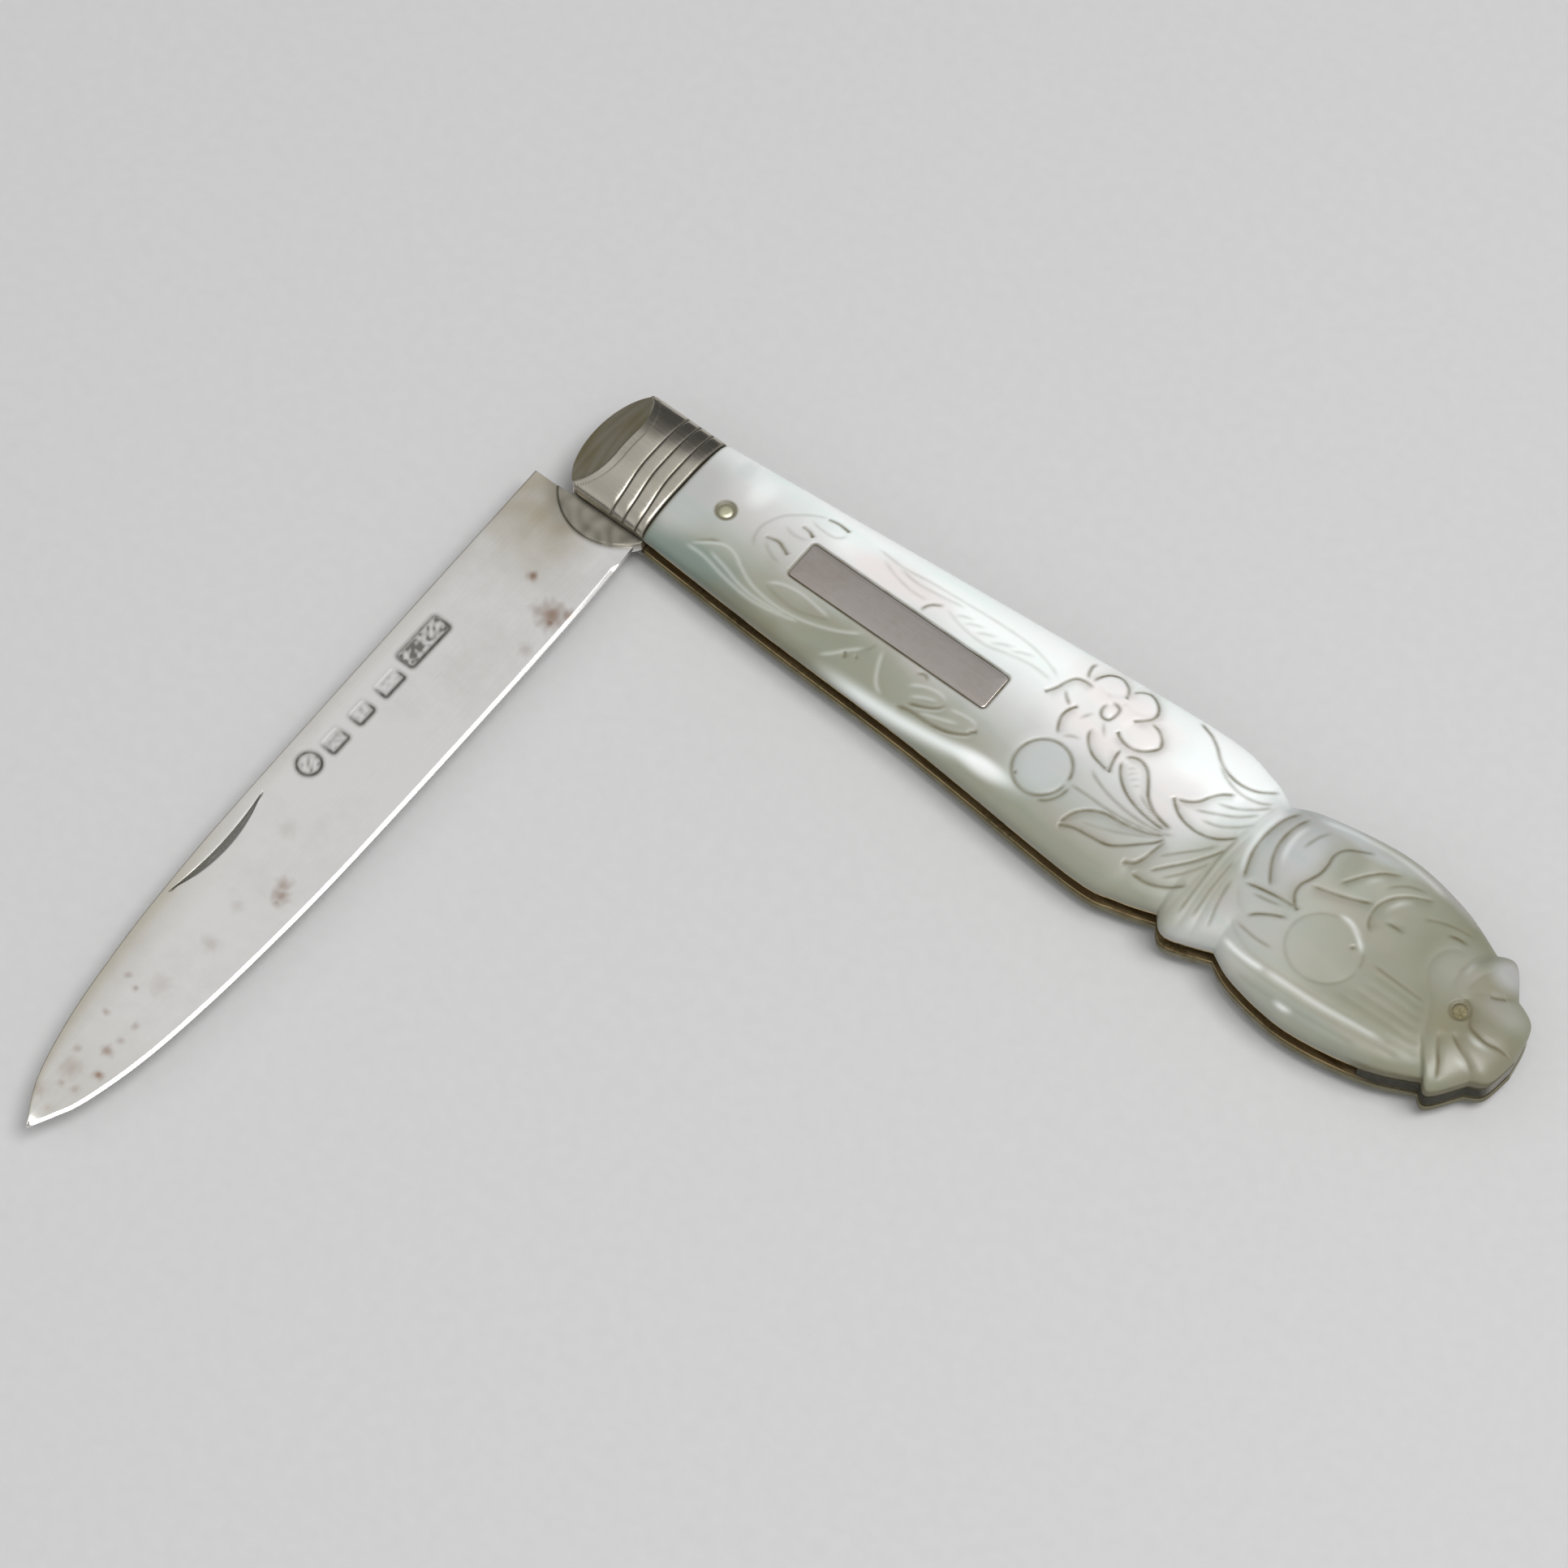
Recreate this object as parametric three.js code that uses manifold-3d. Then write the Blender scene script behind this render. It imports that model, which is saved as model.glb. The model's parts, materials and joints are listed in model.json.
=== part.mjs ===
// A folding fruit knife: a silver blade on a pivot, held by a back spring between two liners, with domed
// silver bolsters and carved mother-of-pearl scales. It lies on its back scale with the blade half open.
// Millimetres, +Z up, +X along the handle to its tail, +Y to the handle's back, where the spring is.
import * as THREE from "three";
import { mergeVertices } from "three/addons/utils/BufferGeometryUtils.js";
import Module from "manifold-3d";

const wasm = await Module();
wasm.setup();
const mix = THREE.MathUtils.lerp;

// Thicknesses of the stack, from the back scale up.
const scaleThickness = 1.8;
const scaleEdge = 0.4; // height of the upright wall round a scale or bolster
const domeWidth = 4.0; // from that wall in to the flat crown
const crownLeast = 0.1; // half width that the crown keeps where the handle is narrow
const linerThickness = 0.35;
const slotWidth = 1.3;
const tangThickness = 1.2;
const seatGap = 0.02; // between two flat faces that are clamped together

// Lengths that set the others: the handle is as long as the closed blade and a little more.
const bladeLength = 68.0; // from the pivot to the tip
const tipToTail = 11.8;
const tailEndX = bladeLength + tipToTail;

// Handle, in plan: x from the pivot, half widths from the handle's centre line.
const centreLineY = 1.45; // the pivot sits below the centre line, so the open blade lines up with the handle
const bolsterFrontX = -5.2;
const bolsterShoulderX = -2.5; // the front end, half an ellipse, starts here at both sides
const facetX = -1.5; // a flat facet falls from here on the crown to the front end
const facetLowest = 0.2;
const junctionX = 3.6; // where bolster and scale meet
const bolsterHalf = 5.1;
const crestFromEnd = 8.35; // the crown's middle line stops this far from the tail's end
const linerInset = 0.1; // liners and spring stop short of the scales' outline

// The two sides of a scale: named places along it, each an x and a half width.
const backEdge = {
  side: 1,
  neck: [mix(junctionX, tailEndX, 0.16), 6.08],
  body: [mix(junctionX, tailEndX, 0.35), 7.28],
  widest: [tailEndX - 32.3, 8.5],
  shoulder: [tailEndX - 26.9, 7.8],
  waist: [tailEndX - 24.4, 6.7],
  swell: [tailEndX - 21.8, 7.75],
  tail: [tailEndX - 15.3, 8.7],
  fall: [tailEndX - 9.8, 7.85],
  petalNotch: [tailEndX - 5.7, 6.15],
  petal: [tailEndX - 4.2, 6.45],
  endNotch: [tailEndX - 2.4, 4.1],
  end: [tailEndX - 0.6, 3.0],
};
const slotEdge = {
  side: -1,
  neck: [mix(junctionX, tailEndX, 0.16), 5.82],
  body: [mix(junctionX, tailEndX, 0.35), 6.42],
  widest: [tailEndX - 34.3, 7.65],
  shoulder: [tailEndX - 30.2, 7.15],
  waist: [tailEndX - 27.2, 6.2],
  wrap: [tailEndX - 25.7, 7.35], // a carved leaf that runs over the edge at the waist
  wrapEnd: [tailEndX - 22.15, 6.15],
  swell: [tailEndX - 19.6, 7.28],
  tail: [tailEndX - 14.5, 7.95],
  fall: [tailEndX - 8.3, 6.95],
  petalNotch: [tailEndX - 4.45, 5.25],
  petal: [tailEndX - 3.45, 5.8],
  endNotch: [tailEndX - 1.65, 3.35],
  end: [tailEndX - 0.45, 2.5],
};

// Pins.
const pivotRadius = 1.0;
const scalePinRadius = 0.6;
const springPinRadius = 0.6;
const pinFit = 0.02;
const pivotFit = 0.05;
const scalePinX = 7.6;
const springPinX = 38.0;
const tailPinX = tailEndX - 5.2;
const tailPinAside = 0.4; // towards the back from the centre line

// Back spring.
const springGap = 0.05; // between its inner face and the tang's flat
const springNoseGap = 0.3; // between its nose and the open blade's heel
const springNoseChamfer = 0.7;
const springRelief = 1.1; // step up behind the tang, clear of the closed blade's edge
const springPinInset = 2.6; // the middle pin's distance from the spring's back and from its inner face
const springHumpHalf = 12.0;
const tailBlockX = bladeLength + 3.1; // the spring's tail fills the slot from here on, clear of the tip

// Blade, in its own frame: x from the pivot to the tip, -y to the spine, +y to the edge, as it lies closed.
const tangHalf = 3.3;
const tangCorner = 2.0;
const tangArc = { x: 1.0, y: -0.55, radius: 4.9 }; // the thick tang ends in this arc on the blade
const heelX = 3.75;
const heelSpine = 6.85;
const spineBendX = bladeLength - 32.0; // the spine is nearly straight to here, then falls to the tip
const bendSpine = 6.15;
const shoulderX = bladeLength - 20.0;
const shoulderSpine = 5.6;
const edgeHalf = 3.68;
const edgeBendX = bladeLength - 30.0;
const tipY = -0.8;
// Places on the way to the tip, or from the heel, as shares of the way and of the rise or fall.
const spineFall = [[0.4, 0.18], [0.65, 0.37], [0.85, 0.625]];
const edgeRise = [[0.2, 0.6], [0.5, 0.9]];
const edgeFall = [[0.33, 0.075], [0.57, 0.2], [0.73, 0.35], [0.87, 0.58], [0.94, 0.79]];
const tipBlunt = 0.1; // the point's last width
const choil = 0.2; // the edge starts this far inside the tang's flat
const spineThickness = 1.0;
const bevelThickness = 0.5;
const edgeThickness = 0.14;
const tipThickness = 0.65;
const bevelWidth = 0.55;
const bevelMost = 0.4; // the bevel's largest share of the width, at the tip
const closedShortfall = 4.0; // degrees: the closed blade stops this far short of the handle's line

// Nail nick, on the blade's front face.
const nickX = bladeLength - 25.5;
const nickLength = 10.4;
const nickFromShoulder = 0.42; // its horns' distance in from the spine's shoulder
const nickBow = 0.43;
const nickWidth = 0.68;
const nickDepth = 0.25;

// Name plate, let into the front scale.
const plateX = 23.8;
const plateLength = 18.4;
const plateWidth = 3.3;
const plateThickness = 0.42;
const plateSink = 0.04; // its face lies this far below the crown
const plateAside = 0.28; // towards the back from the centre line
const plateCorner = 0.3;
const plateFit = 0.03;
const footRadius = 0.45;
const footSpacing = 11.0;

// Facets.
const roundSides = 24;
const lobeSteps = 5; // outline points in each stretch between two given points
const bladeRows = 36;
const bolsterFrontSteps = 18;
const arcSteps = 6;
const curveSamples = 200;
const tipCrowding = 1.6; // above 1, the blade's rows stand closer together towards the tip
const domeSteps = [0, 0.06, 0.2, 0.5, 1];
const weld = 1e-4; // points closer than this are one point
const spare = 1.0; // a cutter runs this far past what it cuts

// Heights worked out from the stack.
const backLinerZ = scaleThickness + seatGap;
const slotZ = backLinerZ + linerThickness;
const frontLinerZ = slotZ + slotWidth;
const frontScaleZ = frontLinerZ + linerThickness + seatGap;
const topZ = frontScaleZ + scaleThickness;
const middleZ = slotZ + slotWidth / 2;

const point = (x, y) => new THREE.Vector2(x, y);

// A closed geometry as a solid that can be cut and joined.
function solid(geometry) {
  const bare = geometry.clone();
  bare.deleteAttribute("normal");
  bare.deleteAttribute("uv");
  const merged = mergeVertices(bare, weld);
  const vertProperties = merged.attributes.position.array;
  const triVerts = new Uint32Array(merged.index.array);
  return new wasm.Manifold(new wasm.Mesh({ numProp: 3, vertProperties, triVerts }));
}

// A solid as a geometry.
function geometry(body) {
  const { vertProperties, triVerts } = body.getMesh();
  const made = new THREE.BufferGeometry();
  made.setAttribute("position", new THREE.BufferAttribute(vertProperties, 3));
  made.setIndex(new THREE.BufferAttribute(triVerts, 1));
  return made;
}

// An upright prism of an outline.
function prism(outline, bottom, height) {
  const made = new THREE.ExtrudeGeometry(new THREE.Shape(outline), { depth: height, bevelEnabled: false });
  return solid(made.translate(0, 0, bottom));
}

// An upright round bar.
function bar(radius, x, y, bottom, top) {
  const made = new THREE.CylinderGeometry(radius, radius, top - bottom, roundSides);
  return solid(made.rotateX(Math.PI / 2).translate(x, y, (bottom + top) / 2));
}

// A smooth stretch of outline through a few points.
function stretch(points) {
  return new THREE.SplineCurve(points).getPoints(lobeSteps * (points.length - 1));
}

// One side of a scale from the bolster to the tail's end, as one smooth stretch between each two notches.
function scaleSide(edge, inset) {
  const at = ([x, half]) => point(x, centreLineY + edge.side * (half - inset));
  const atEnd = ([x, half]) => point(x - inset, centreLineY + edge.side * half);
  const start = [junctionX, bolsterHalf];
  const wrap = edge.wrap ? [[edge.waist, edge.wrap, edge.wrapEnd].map(at)] : [];
  const lobes = [
    [start, edge.neck, edge.body, edge.widest, edge.shoulder, edge.waist].map(at),
    ...wrap,
    [edge.wrapEnd ?? edge.waist, edge.swell, edge.tail, edge.fall, edge.petalNotch].map(at),
    [at(edge.petalNotch), at(edge.petal), atEnd(edge.endNotch)],
    [edge.endNotch, edge.end, [tailEndX, 0]].map(atEnd),
  ];
  return lobes.flatMap((lobe, i) => stretch(lobe).slice(i ? 1 : 0));
}

// The y of one side's outline at a place along the handle.
function edgeAt(edge, inset, x) {
  const line = scaleSide(edge, inset);
  const next = line.findIndex((p) => p.x >= x);
  const [a, b] = [line[next - 1], line[next]];
  return mix(a.y, b.y, (x - a.x) / (b.x - a.x));
}

// The whole outline of a scale, anticlockwise from the bolster's slot-side corner.
function scaleOutline(inset) {
  return [...scaleSide(slotEdge, inset), ...scaleSide(backEdge, inset).reverse().slice(1)];
}

// The plan of a bolster, from its back corner on the handle's back, round the front to the slot side.
function bolsterOutline(inset) {
  const half = bolsterHalf - inset;
  const backX = junctionX - seatGap;
  const reach = bolsterShoulderX - bolsterFrontX - inset;
  const turn = [Math.PI / 2, (3 * Math.PI) / 2];
  const front = new THREE.EllipseCurve(bolsterShoulderX, centreLineY, reach, half, ...turn);
  return [
    point(backX, centreLineY + half),
    ...front.getPoints(bolsterFrontSteps),
    point(backX, centreLineY - half),
  ];
}

// A slab with a flat underside at z 0 that rises from an upright wall to a flat crown along the centre line.
function domedSlab(outline, crestEndX) {
  const rings = [outline.map((p) => new THREE.Vector3(p.x, p.y, 0))];
  for (const share of domeSteps) {
    const rise = Math.sqrt(1 - (1 - share) ** 2);
    const z = mix(scaleEdge, scaleThickness, rise);
    rings.push(
      outline.map((p) => {
        const crest = point(Math.min(p.x, crestEndX), centreLineY);
        const way = p.clone().sub(crest);
        const left = way.setLength(Math.max(way.length() - share * domeWidth, crownLeast)).add(crest);
        return new THREE.Vector3(left.x, left.y, z);
      }),
    );
  }
  const count = outline.length;
  const index = [];
  for (let r = 0; r + 1 < rings.length; r++) {
    for (let i = 0; i < count; i++) {
      const a = r * count + i;
      const b = r * count + ((i + 1) % count);
      index.push(a, b, b + count, a, b + count, a + count);
    }
  }
  const top = (rings.length - 1) * count;
  const crown = rings[rings.length - 1].map((p) => point(p.x, p.y));
  THREE.ShapeUtils.triangulateShape(outline, []).forEach(([a, b, c]) => index.push(c, b, a));
  THREE.ShapeUtils.triangulateShape(crown, []).forEach(([a, b, c]) => index.push(top + a, top + b, top + c));
  const made = new THREE.BufferGeometry().setFromPoints(rings.flat());
  made.setIndex(index);
  return solid(made);
}

// A bolster before drilling: a domed block, its front end rounded in plan and cut by a sloping facet.
function bolsterBlock() {
  const half = bolsterHalf;
  const back = junctionX - seatGap;
  const corners = [
    [bolsterFrontX, -half],
    [back, -half],
    [back, half],
    [bolsterFrontX, half],
  ];
  const block = domedSlab(corners.map(([x, y]) => point(x, centreLineY + y)), junctionX);
  const slope = (scaleThickness - facetLowest) / (facetX - bolsterFrontX);
  const waste = new THREE.Shape([
    point(facetX + spare, scaleThickness + slope * spare),
    point(bolsterFrontX - spare, scaleThickness + slope * spare),
    point(bolsterFrontX - spare, facetLowest - slope * spare),
  ]);
  const length = 2 * (half + spare);
  const wedge = new THREE.ExtrudeGeometry(waste, { depth: length, bevelEnabled: false });
  wedge.rotateX(Math.PI / 2).translate(0, centreLineY + length / 2, 0);
  const plan = prism(bolsterOutline(0), 0, 2 * scaleThickness);
  return block.intersect(plan).subtract(solid(wedge));
}

// Places a slab made at z 0 on the front, or turned over on the back.
function frontSlab(slab) {
  return solid(geometry(slab).translate(0, 0, frontScaleZ));
}

function backSlab(slab) {
  const turned = geometry(slab).scale(1, 1, -1).translate(0, 0, scaleThickness);
  const order = turned.index.array;
  for (let i = 0; i < order.length; i += 3) order.subarray(i + 1, i + 3).reverse();
  return solid(turned);
}

const scaleBlank = domedSlab(scaleOutline(0), tailEndX - crestFromEnd);
const bolsterBlank = bolsterBlock();

// Holes that run through the whole stack, a little past both faces.
const through = (radius, x, y) => bar(radius, x, y, -spare, topZ + spare);
const pivotHole = through(pivotRadius + pinFit, 0, 0);
const scalePinHole = through(scalePinRadius + pinFit, scalePinX, centreLineY);
const tailPinY = centreLineY + tailPinAside;
const tailPinHole = through(scalePinRadius + pinFit, tailPinX, tailPinY);
const springPinY = edgeAt(backEdge, linerInset, springPinX) - springPinInset;
const springPinHole = through(springPinRadius + pinFit, springPinX, springPinY);

function backScale() {
  return backSlab(scaleBlank).subtract(scalePinHole).subtract(tailPinHole);
}

function bolster(place) {
  return place(bolsterBlank).subtract(pivotHole);
}

// The rounded rectangle of the name plate, grown by a fit.
function plateOutline(grow) {
  const halfLength = plateLength / 2 + grow;
  const halfWidth = plateWidth / 2 + grow;
  const corner = plateCorner + grow;
  const shape = new THREE.Shape();
  const corners = [
    [1, 1, 0],
    [-1, 1, 0.5],
    [-1, -1, 1],
    [1, -1, 1.5],
  ];
  for (const [sx, sy, turn] of corners) {
    const x = plateX + sx * (halfLength - corner);
    const y = plateY + sy * (halfWidth - corner);
    shape.absarc(x, y, corner, turn * Math.PI, (turn + 0.5) * Math.PI);
  }
  return shape.extractPoints(arcSteps).shape;
}

const plateY = centreLineY + plateAside;
const plateBottom = topZ - plateSink - plateThickness;
const footPlaces = [plateX - footSpacing / 2, plateX + footSpacing / 2];

function frontScale() {
  let body = frontSlab(scaleBlank).subtract(scalePinHole).subtract(tailPinHole);
  body = body.subtract(prism(plateOutline(plateFit), plateBottom - seatGap, plateThickness + spare));
  for (const x of footPlaces) body = body.subtract(through(footRadius + pinFit, x, plateY));
  return body;
}

function namePlate() {
  let body = prism(plateOutline(0), plateBottom, plateThickness);
  const footTop = plateBottom + plateThickness / 2;
  for (const x of footPlaces) body = body.add(bar(footRadius, x, plateY, frontScaleZ, footTop));
  return body;
}

// The liners run from the bolster's front end to the tail.
function handleOutline(inset) {
  return [...scaleOutline(inset), ...bolsterOutline(inset).slice(1, -1)];
}

function liner(bottom) {
  let body = prism(handleOutline(linerInset), bottom, linerThickness);
  for (const hole of [pivotHole, scalePinHole, springPinHole, tailPinHole]) body = body.subtract(hole);
  return body;
}

// The spring follows the handle's back, rests on the tang near the pivot and fills the slot at the tail.
function backSpring() {
  const innerY = tangHalf + springGap;
  const reliefY = innerY + springRelief;
  const ramp = 2 * springRelief;
  const outer = scaleSide(backEdge, linerInset).reverse();
  const tailBlock = scaleSide(slotEdge, linerInset).filter((p) => p.x > tailBlockX);
  const noseX = springNoseGap - heelX;
  const noseY = centreLineY + bolsterHalf - linerInset;
  const hump = [
    point(springPinX - springHumpHalf, reliefY),
    point(springPinX, springPinY - springPinInset),
    point(springPinX + springHumpHalf, reliefY),
  ];
  const inner = [
    point(noseX + springNoseChamfer, noseY),
    point(noseX, noseY - springNoseChamfer),
    point(noseX, innerY),
    point(tangHalf, innerY),
    point(tangHalf + ramp, reliefY),
    ...stretch(hump),
    point(tailBlockX - ramp, reliefY),
    point(tailBlockX, innerY - springRelief),
    point(tailBlockX, edgeAt(slotEdge, linerInset, tailBlockX)),
  ];
  const outline = [...tailBlock, ...outer.slice(1), ...inner];
  const body = prism(outline, slotZ + seatGap, slotWidth - 2 * seatGap);
  return body.subtract(springPinHole).subtract(tailPinHole);
}

// The tang: flats at the three stops, rounded corners and an arc that steps down to the blade.
function tang() {
  const tilt = THREE.MathUtils.degToRad(closedShortfall);
  const flatTo = tangHalf - tangCorner;
  const closedFlatTo = (flatTo * (1 - Math.sin(tilt))) / Math.cos(tilt);
  const { x, y, radius } = tangArc;
  const toClosedFlat = tangHalf + x * Math.sin(tilt) - y * Math.cos(tilt);
  const fromHeel = -Math.acos((heelX - x) / radius);
  const toFlat = Math.PI / 2 + tilt - Math.acos(toClosedFlat / radius);
  const shape = new THREE.Shape();
  shape.absarc(x, y, radius, fromHeel, toFlat);
  shape.absarc(-flatTo, closedFlatTo, tangCorner, Math.PI / 2 + tilt, Math.PI);
  shape.absarc(-flatTo, -flatTo, tangCorner, Math.PI, (3 * Math.PI) / 2);
  shape.lineTo(heelX, -tangHalf);
  return prism(shape.extractPoints(arcSteps).shape, -tangThickness / 2, tangThickness);
}

// The blade's spine and edge as heights over its length.
function heightAlong(points) {
  const curve = new THREE.SplineCurve(points).getPoints(curveSamples);
  return (x) => {
    const next = Math.max(curve.findIndex((p) => p.x >= x), 1);
    const [a, b] = [curve[next - 1], curve[next]];
    return mix(a.y, b.y, THREE.MathUtils.clamp((x - a.x) / (b.x - a.x), 0, 1));
  };
}

function bladeFlat() {
  const tip = point(bladeLength, tipY);
  const shoulder = point(shoulderX, -shoulderSpine);
  const edgeStart = point(heelX, tangHalf - choil);
  const edgeBend = point(edgeBendX, edgeHalf);
  const between = (a, b) => ([along, change]) => point(mix(a.x, b.x, along), mix(a.y, b.y, change));
  const spine = heightAlong([
    point(heelX, -heelSpine),
    point(spineBendX, -bendSpine),
    shoulder,
    ...spineFall.map(between(shoulder, tip)),
    tip,
  ]);
  const edge = heightAlong([
    edgeStart,
    ...edgeRise.map(between(edgeStart, edgeBend)),
    edgeBend,
    ...edgeFall.map(between(edgeBend, tip)),
    tip,
  ]);
  const rings = [];
  for (let row = 0; row <= bladeRows; row++) {
    const share = row / bladeRows;
    const x = mix(heelX, bladeLength - tipBlunt / 2, 1 - (1 - share) ** tipCrowding);
    const top = edge(x);
    const low = Math.min(spine(x), top - tipBlunt);
    const taper = mix(1, tipThickness / spineThickness, x / bladeLength);
    const bevelY = mix(top, low, Math.min(bevelWidth / (top - low), bevelMost));
    const half = [spineThickness, bevelThickness, edgeThickness].map((t) => (t * taper) / 2);
    const section = [
      [low, -half[0]],
      [bevelY, -half[1]],
      [top, -half[2]],
      [top, half[2]],
      [bevelY, half[1]],
      [low, half[0]],
    ];
    rings.push(section.map(([y, z]) => new THREE.Vector3(x, y, z)));
  }
  const sides = rings[0].length;
  const index = [];
  for (let r = 0; r < bladeRows; r++) {
    for (let i = 0; i < sides; i++) {
      const a = r * sides + i;
      const b = r * sides + ((i + 1) % sides);
      index.push(a, b, b + sides, a, b + sides, a + sides);
    }
  }
  const last = bladeRows * sides;
  for (let i = 1; i + 1 < sides; i++) {
    index.push(0, i + 1, i);
    index.push(last, last + i, last + i + 1);
  }
  const made = new THREE.BufferGeometry().setFromPoints(rings.flat());
  made.setIndex(index);
  return solid(made);
}

// A crescent let into the blade's front face, its horns towards the spine.
function nailNick() {
  const hornY = nickFromShoulder - shoulderSpine;
  const shape = new THREE.Shape();
  shape.moveTo(nickX - nickLength / 2, hornY);
  shape.quadraticCurveTo(nickX, hornY + 2 * nickBow, nickX + nickLength / 2, hornY);
  shape.quadraticCurveTo(nickX, hornY + 2 * (nickBow + nickWidth), nickX - nickLength / 2, hornY);
  const faceZ = mix(bevelThickness, spineThickness, (edgeHalf - hornY) / (edgeHalf + bendSpine)) / 2;
  return prism(shape.extractPoints(arcSteps).shape, faceZ - nickDepth, spineThickness);
}

function blade() {
  const hole = bar(pivotRadius + pivotFit, 0, 0, -tangThickness, tangThickness);
  return bladeFlat().add(tang()).subtract(hole).subtract(nailNick());
}

// The pivot pin, peened flush with both bolsters.
function pivotPin() {
  const core = bar(pivotRadius, 0, 0, 0, topZ);
  const between = prism(bolsterOutline(0), scaleThickness / 2, topZ - scaleThickness);
  const stack = between.add(frontSlab(bolsterBlank)).add(backSlab(bolsterBlank));
  return core.intersect(stack);
}

// Looks, as plain colours.
const silver = new THREE.MeshStandardMaterial({ color: 0xd2d0c8, roughness: 0.2, metalness: 1 });
const gilt = new THREE.MeshStandardMaterial({ color: 0xa98d5a, roughness: 0.4, metalness: 1 });
const steel = new THREE.MeshStandardMaterial({ color: 0x8a8680, roughness: 0.4, metalness: 1 });
const pearl = new THREE.MeshStandardMaterial({ color: 0xd8d6c8, roughness: 0.25, metalness: 0 });

const knife = new THREE.Group();
const middleX = (bolsterFrontX + tailEndX) / 2; // the origin is under the handle's middle
knife.position.set(-middleX, -centreLineY, 0);

function place(name, body, material, parent = knife) {
  const mesh = new THREE.Mesh(geometry(body), material);
  mesh.name = name;
  parent.add(mesh);
}

const linerTop = frontLinerZ + linerThickness;

place("back_scale", backScale(), pearl);
place("front_scale", frontScale(), pearl);
place("back_bolster", bolster(backSlab), silver);
place("front_bolster", bolster(frontSlab), silver);
place("back_liner", liner(backLinerZ), gilt);
place("front_liner", liner(frontLinerZ), gilt);
place("back_spring", backSpring(), steel);
place("name_plate", namePlate(), silver);
place("pivot_pin", pivotPin(), silver);
place("spring_pin", bar(springPinRadius, springPinX, springPinY, backLinerZ, linerTop), steel);
place("tail_pin", bar(scalePinRadius, tailPinX, tailPinY, 0, topZ), gilt);
place("back_scale_pin", bar(scalePinRadius, scalePinX, centreLineY, 0, slotZ), gilt);
place("front_scale_pin", bar(scalePinRadius, scalePinX, centreLineY, frontLinerZ, topZ), gilt);

// The blade turns about the pivot; a quarter turn back from the closed line is the half stop.
const bladeTurn = new THREE.Group();
bladeTurn.position.z = middleZ;
bladeTurn.rotation.z = -Math.PI / 2;
knife.add(bladeTurn);
place("blade", blade(), silver, bladeTurn);

const part = new THREE.Group();
part.add(knife);

export default part;
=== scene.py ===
"""Dresses a folding fruit knife: carved pearl scales, reeded silver bolsters, a silver blade and its pins."""

import json
import math

import bpy
import numpy as np
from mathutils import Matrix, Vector


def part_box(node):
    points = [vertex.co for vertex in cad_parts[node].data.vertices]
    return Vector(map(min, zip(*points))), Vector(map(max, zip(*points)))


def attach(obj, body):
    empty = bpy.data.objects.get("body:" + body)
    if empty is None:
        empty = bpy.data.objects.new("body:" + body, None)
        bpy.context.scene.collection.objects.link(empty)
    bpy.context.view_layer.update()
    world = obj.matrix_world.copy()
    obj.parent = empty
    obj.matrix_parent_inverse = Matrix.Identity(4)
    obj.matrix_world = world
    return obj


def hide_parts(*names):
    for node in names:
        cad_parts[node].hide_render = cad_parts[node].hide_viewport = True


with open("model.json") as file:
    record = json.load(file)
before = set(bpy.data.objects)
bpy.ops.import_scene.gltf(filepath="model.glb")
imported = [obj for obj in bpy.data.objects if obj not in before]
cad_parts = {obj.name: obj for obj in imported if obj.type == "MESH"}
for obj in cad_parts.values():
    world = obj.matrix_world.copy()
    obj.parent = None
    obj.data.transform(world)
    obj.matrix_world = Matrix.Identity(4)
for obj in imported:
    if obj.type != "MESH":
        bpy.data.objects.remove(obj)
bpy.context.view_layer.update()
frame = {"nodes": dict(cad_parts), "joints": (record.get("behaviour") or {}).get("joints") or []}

bl_info = {
    "name": "Folding fruit knife",
    "version": (1, 0, 0),
    "blender": (4, 5, 0),
    "location": "3D View > Sidebar > Knife",
    "description": "Builds the visible pieces of a folding fruit knife round its CAD frame",
    "category": "Object",
}

# Lengths are millimetres from the pivot: x to the handle's tail, y to its back, z up from the table.
MM = 0.001
TINY = 1e-9
PIVOT = np.array(frame["joints"][0]["pos_m"]) / MM
CENTRE_Y = -PIVOT[1]


def heights(node):
    """Lowest and highest z of a CAD node."""
    low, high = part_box(node)
    return low[2] / MM, high[2] / MM


# A scale or bolster stands on its liner with an upright wall, then a domed rim, and is flat on its crown.
BACK_LOW, BACK_HIGH = heights("back_scale")
FRONT_LOW, FRONT_HIGH = heights("front_scale")
THICK = FRONT_HIGH - FRONT_LOW
EDGE_WALL = 0.4
DOME_WIDTH = 4.0

# Edges that fold by more than so many degrees stay sharp.
CREASE = {"scale": 70.0, "bolster": 32.0, "leaf": 28.0, "tang": 30.0, "plate": 35.0, "pin": 40.0}

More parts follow.
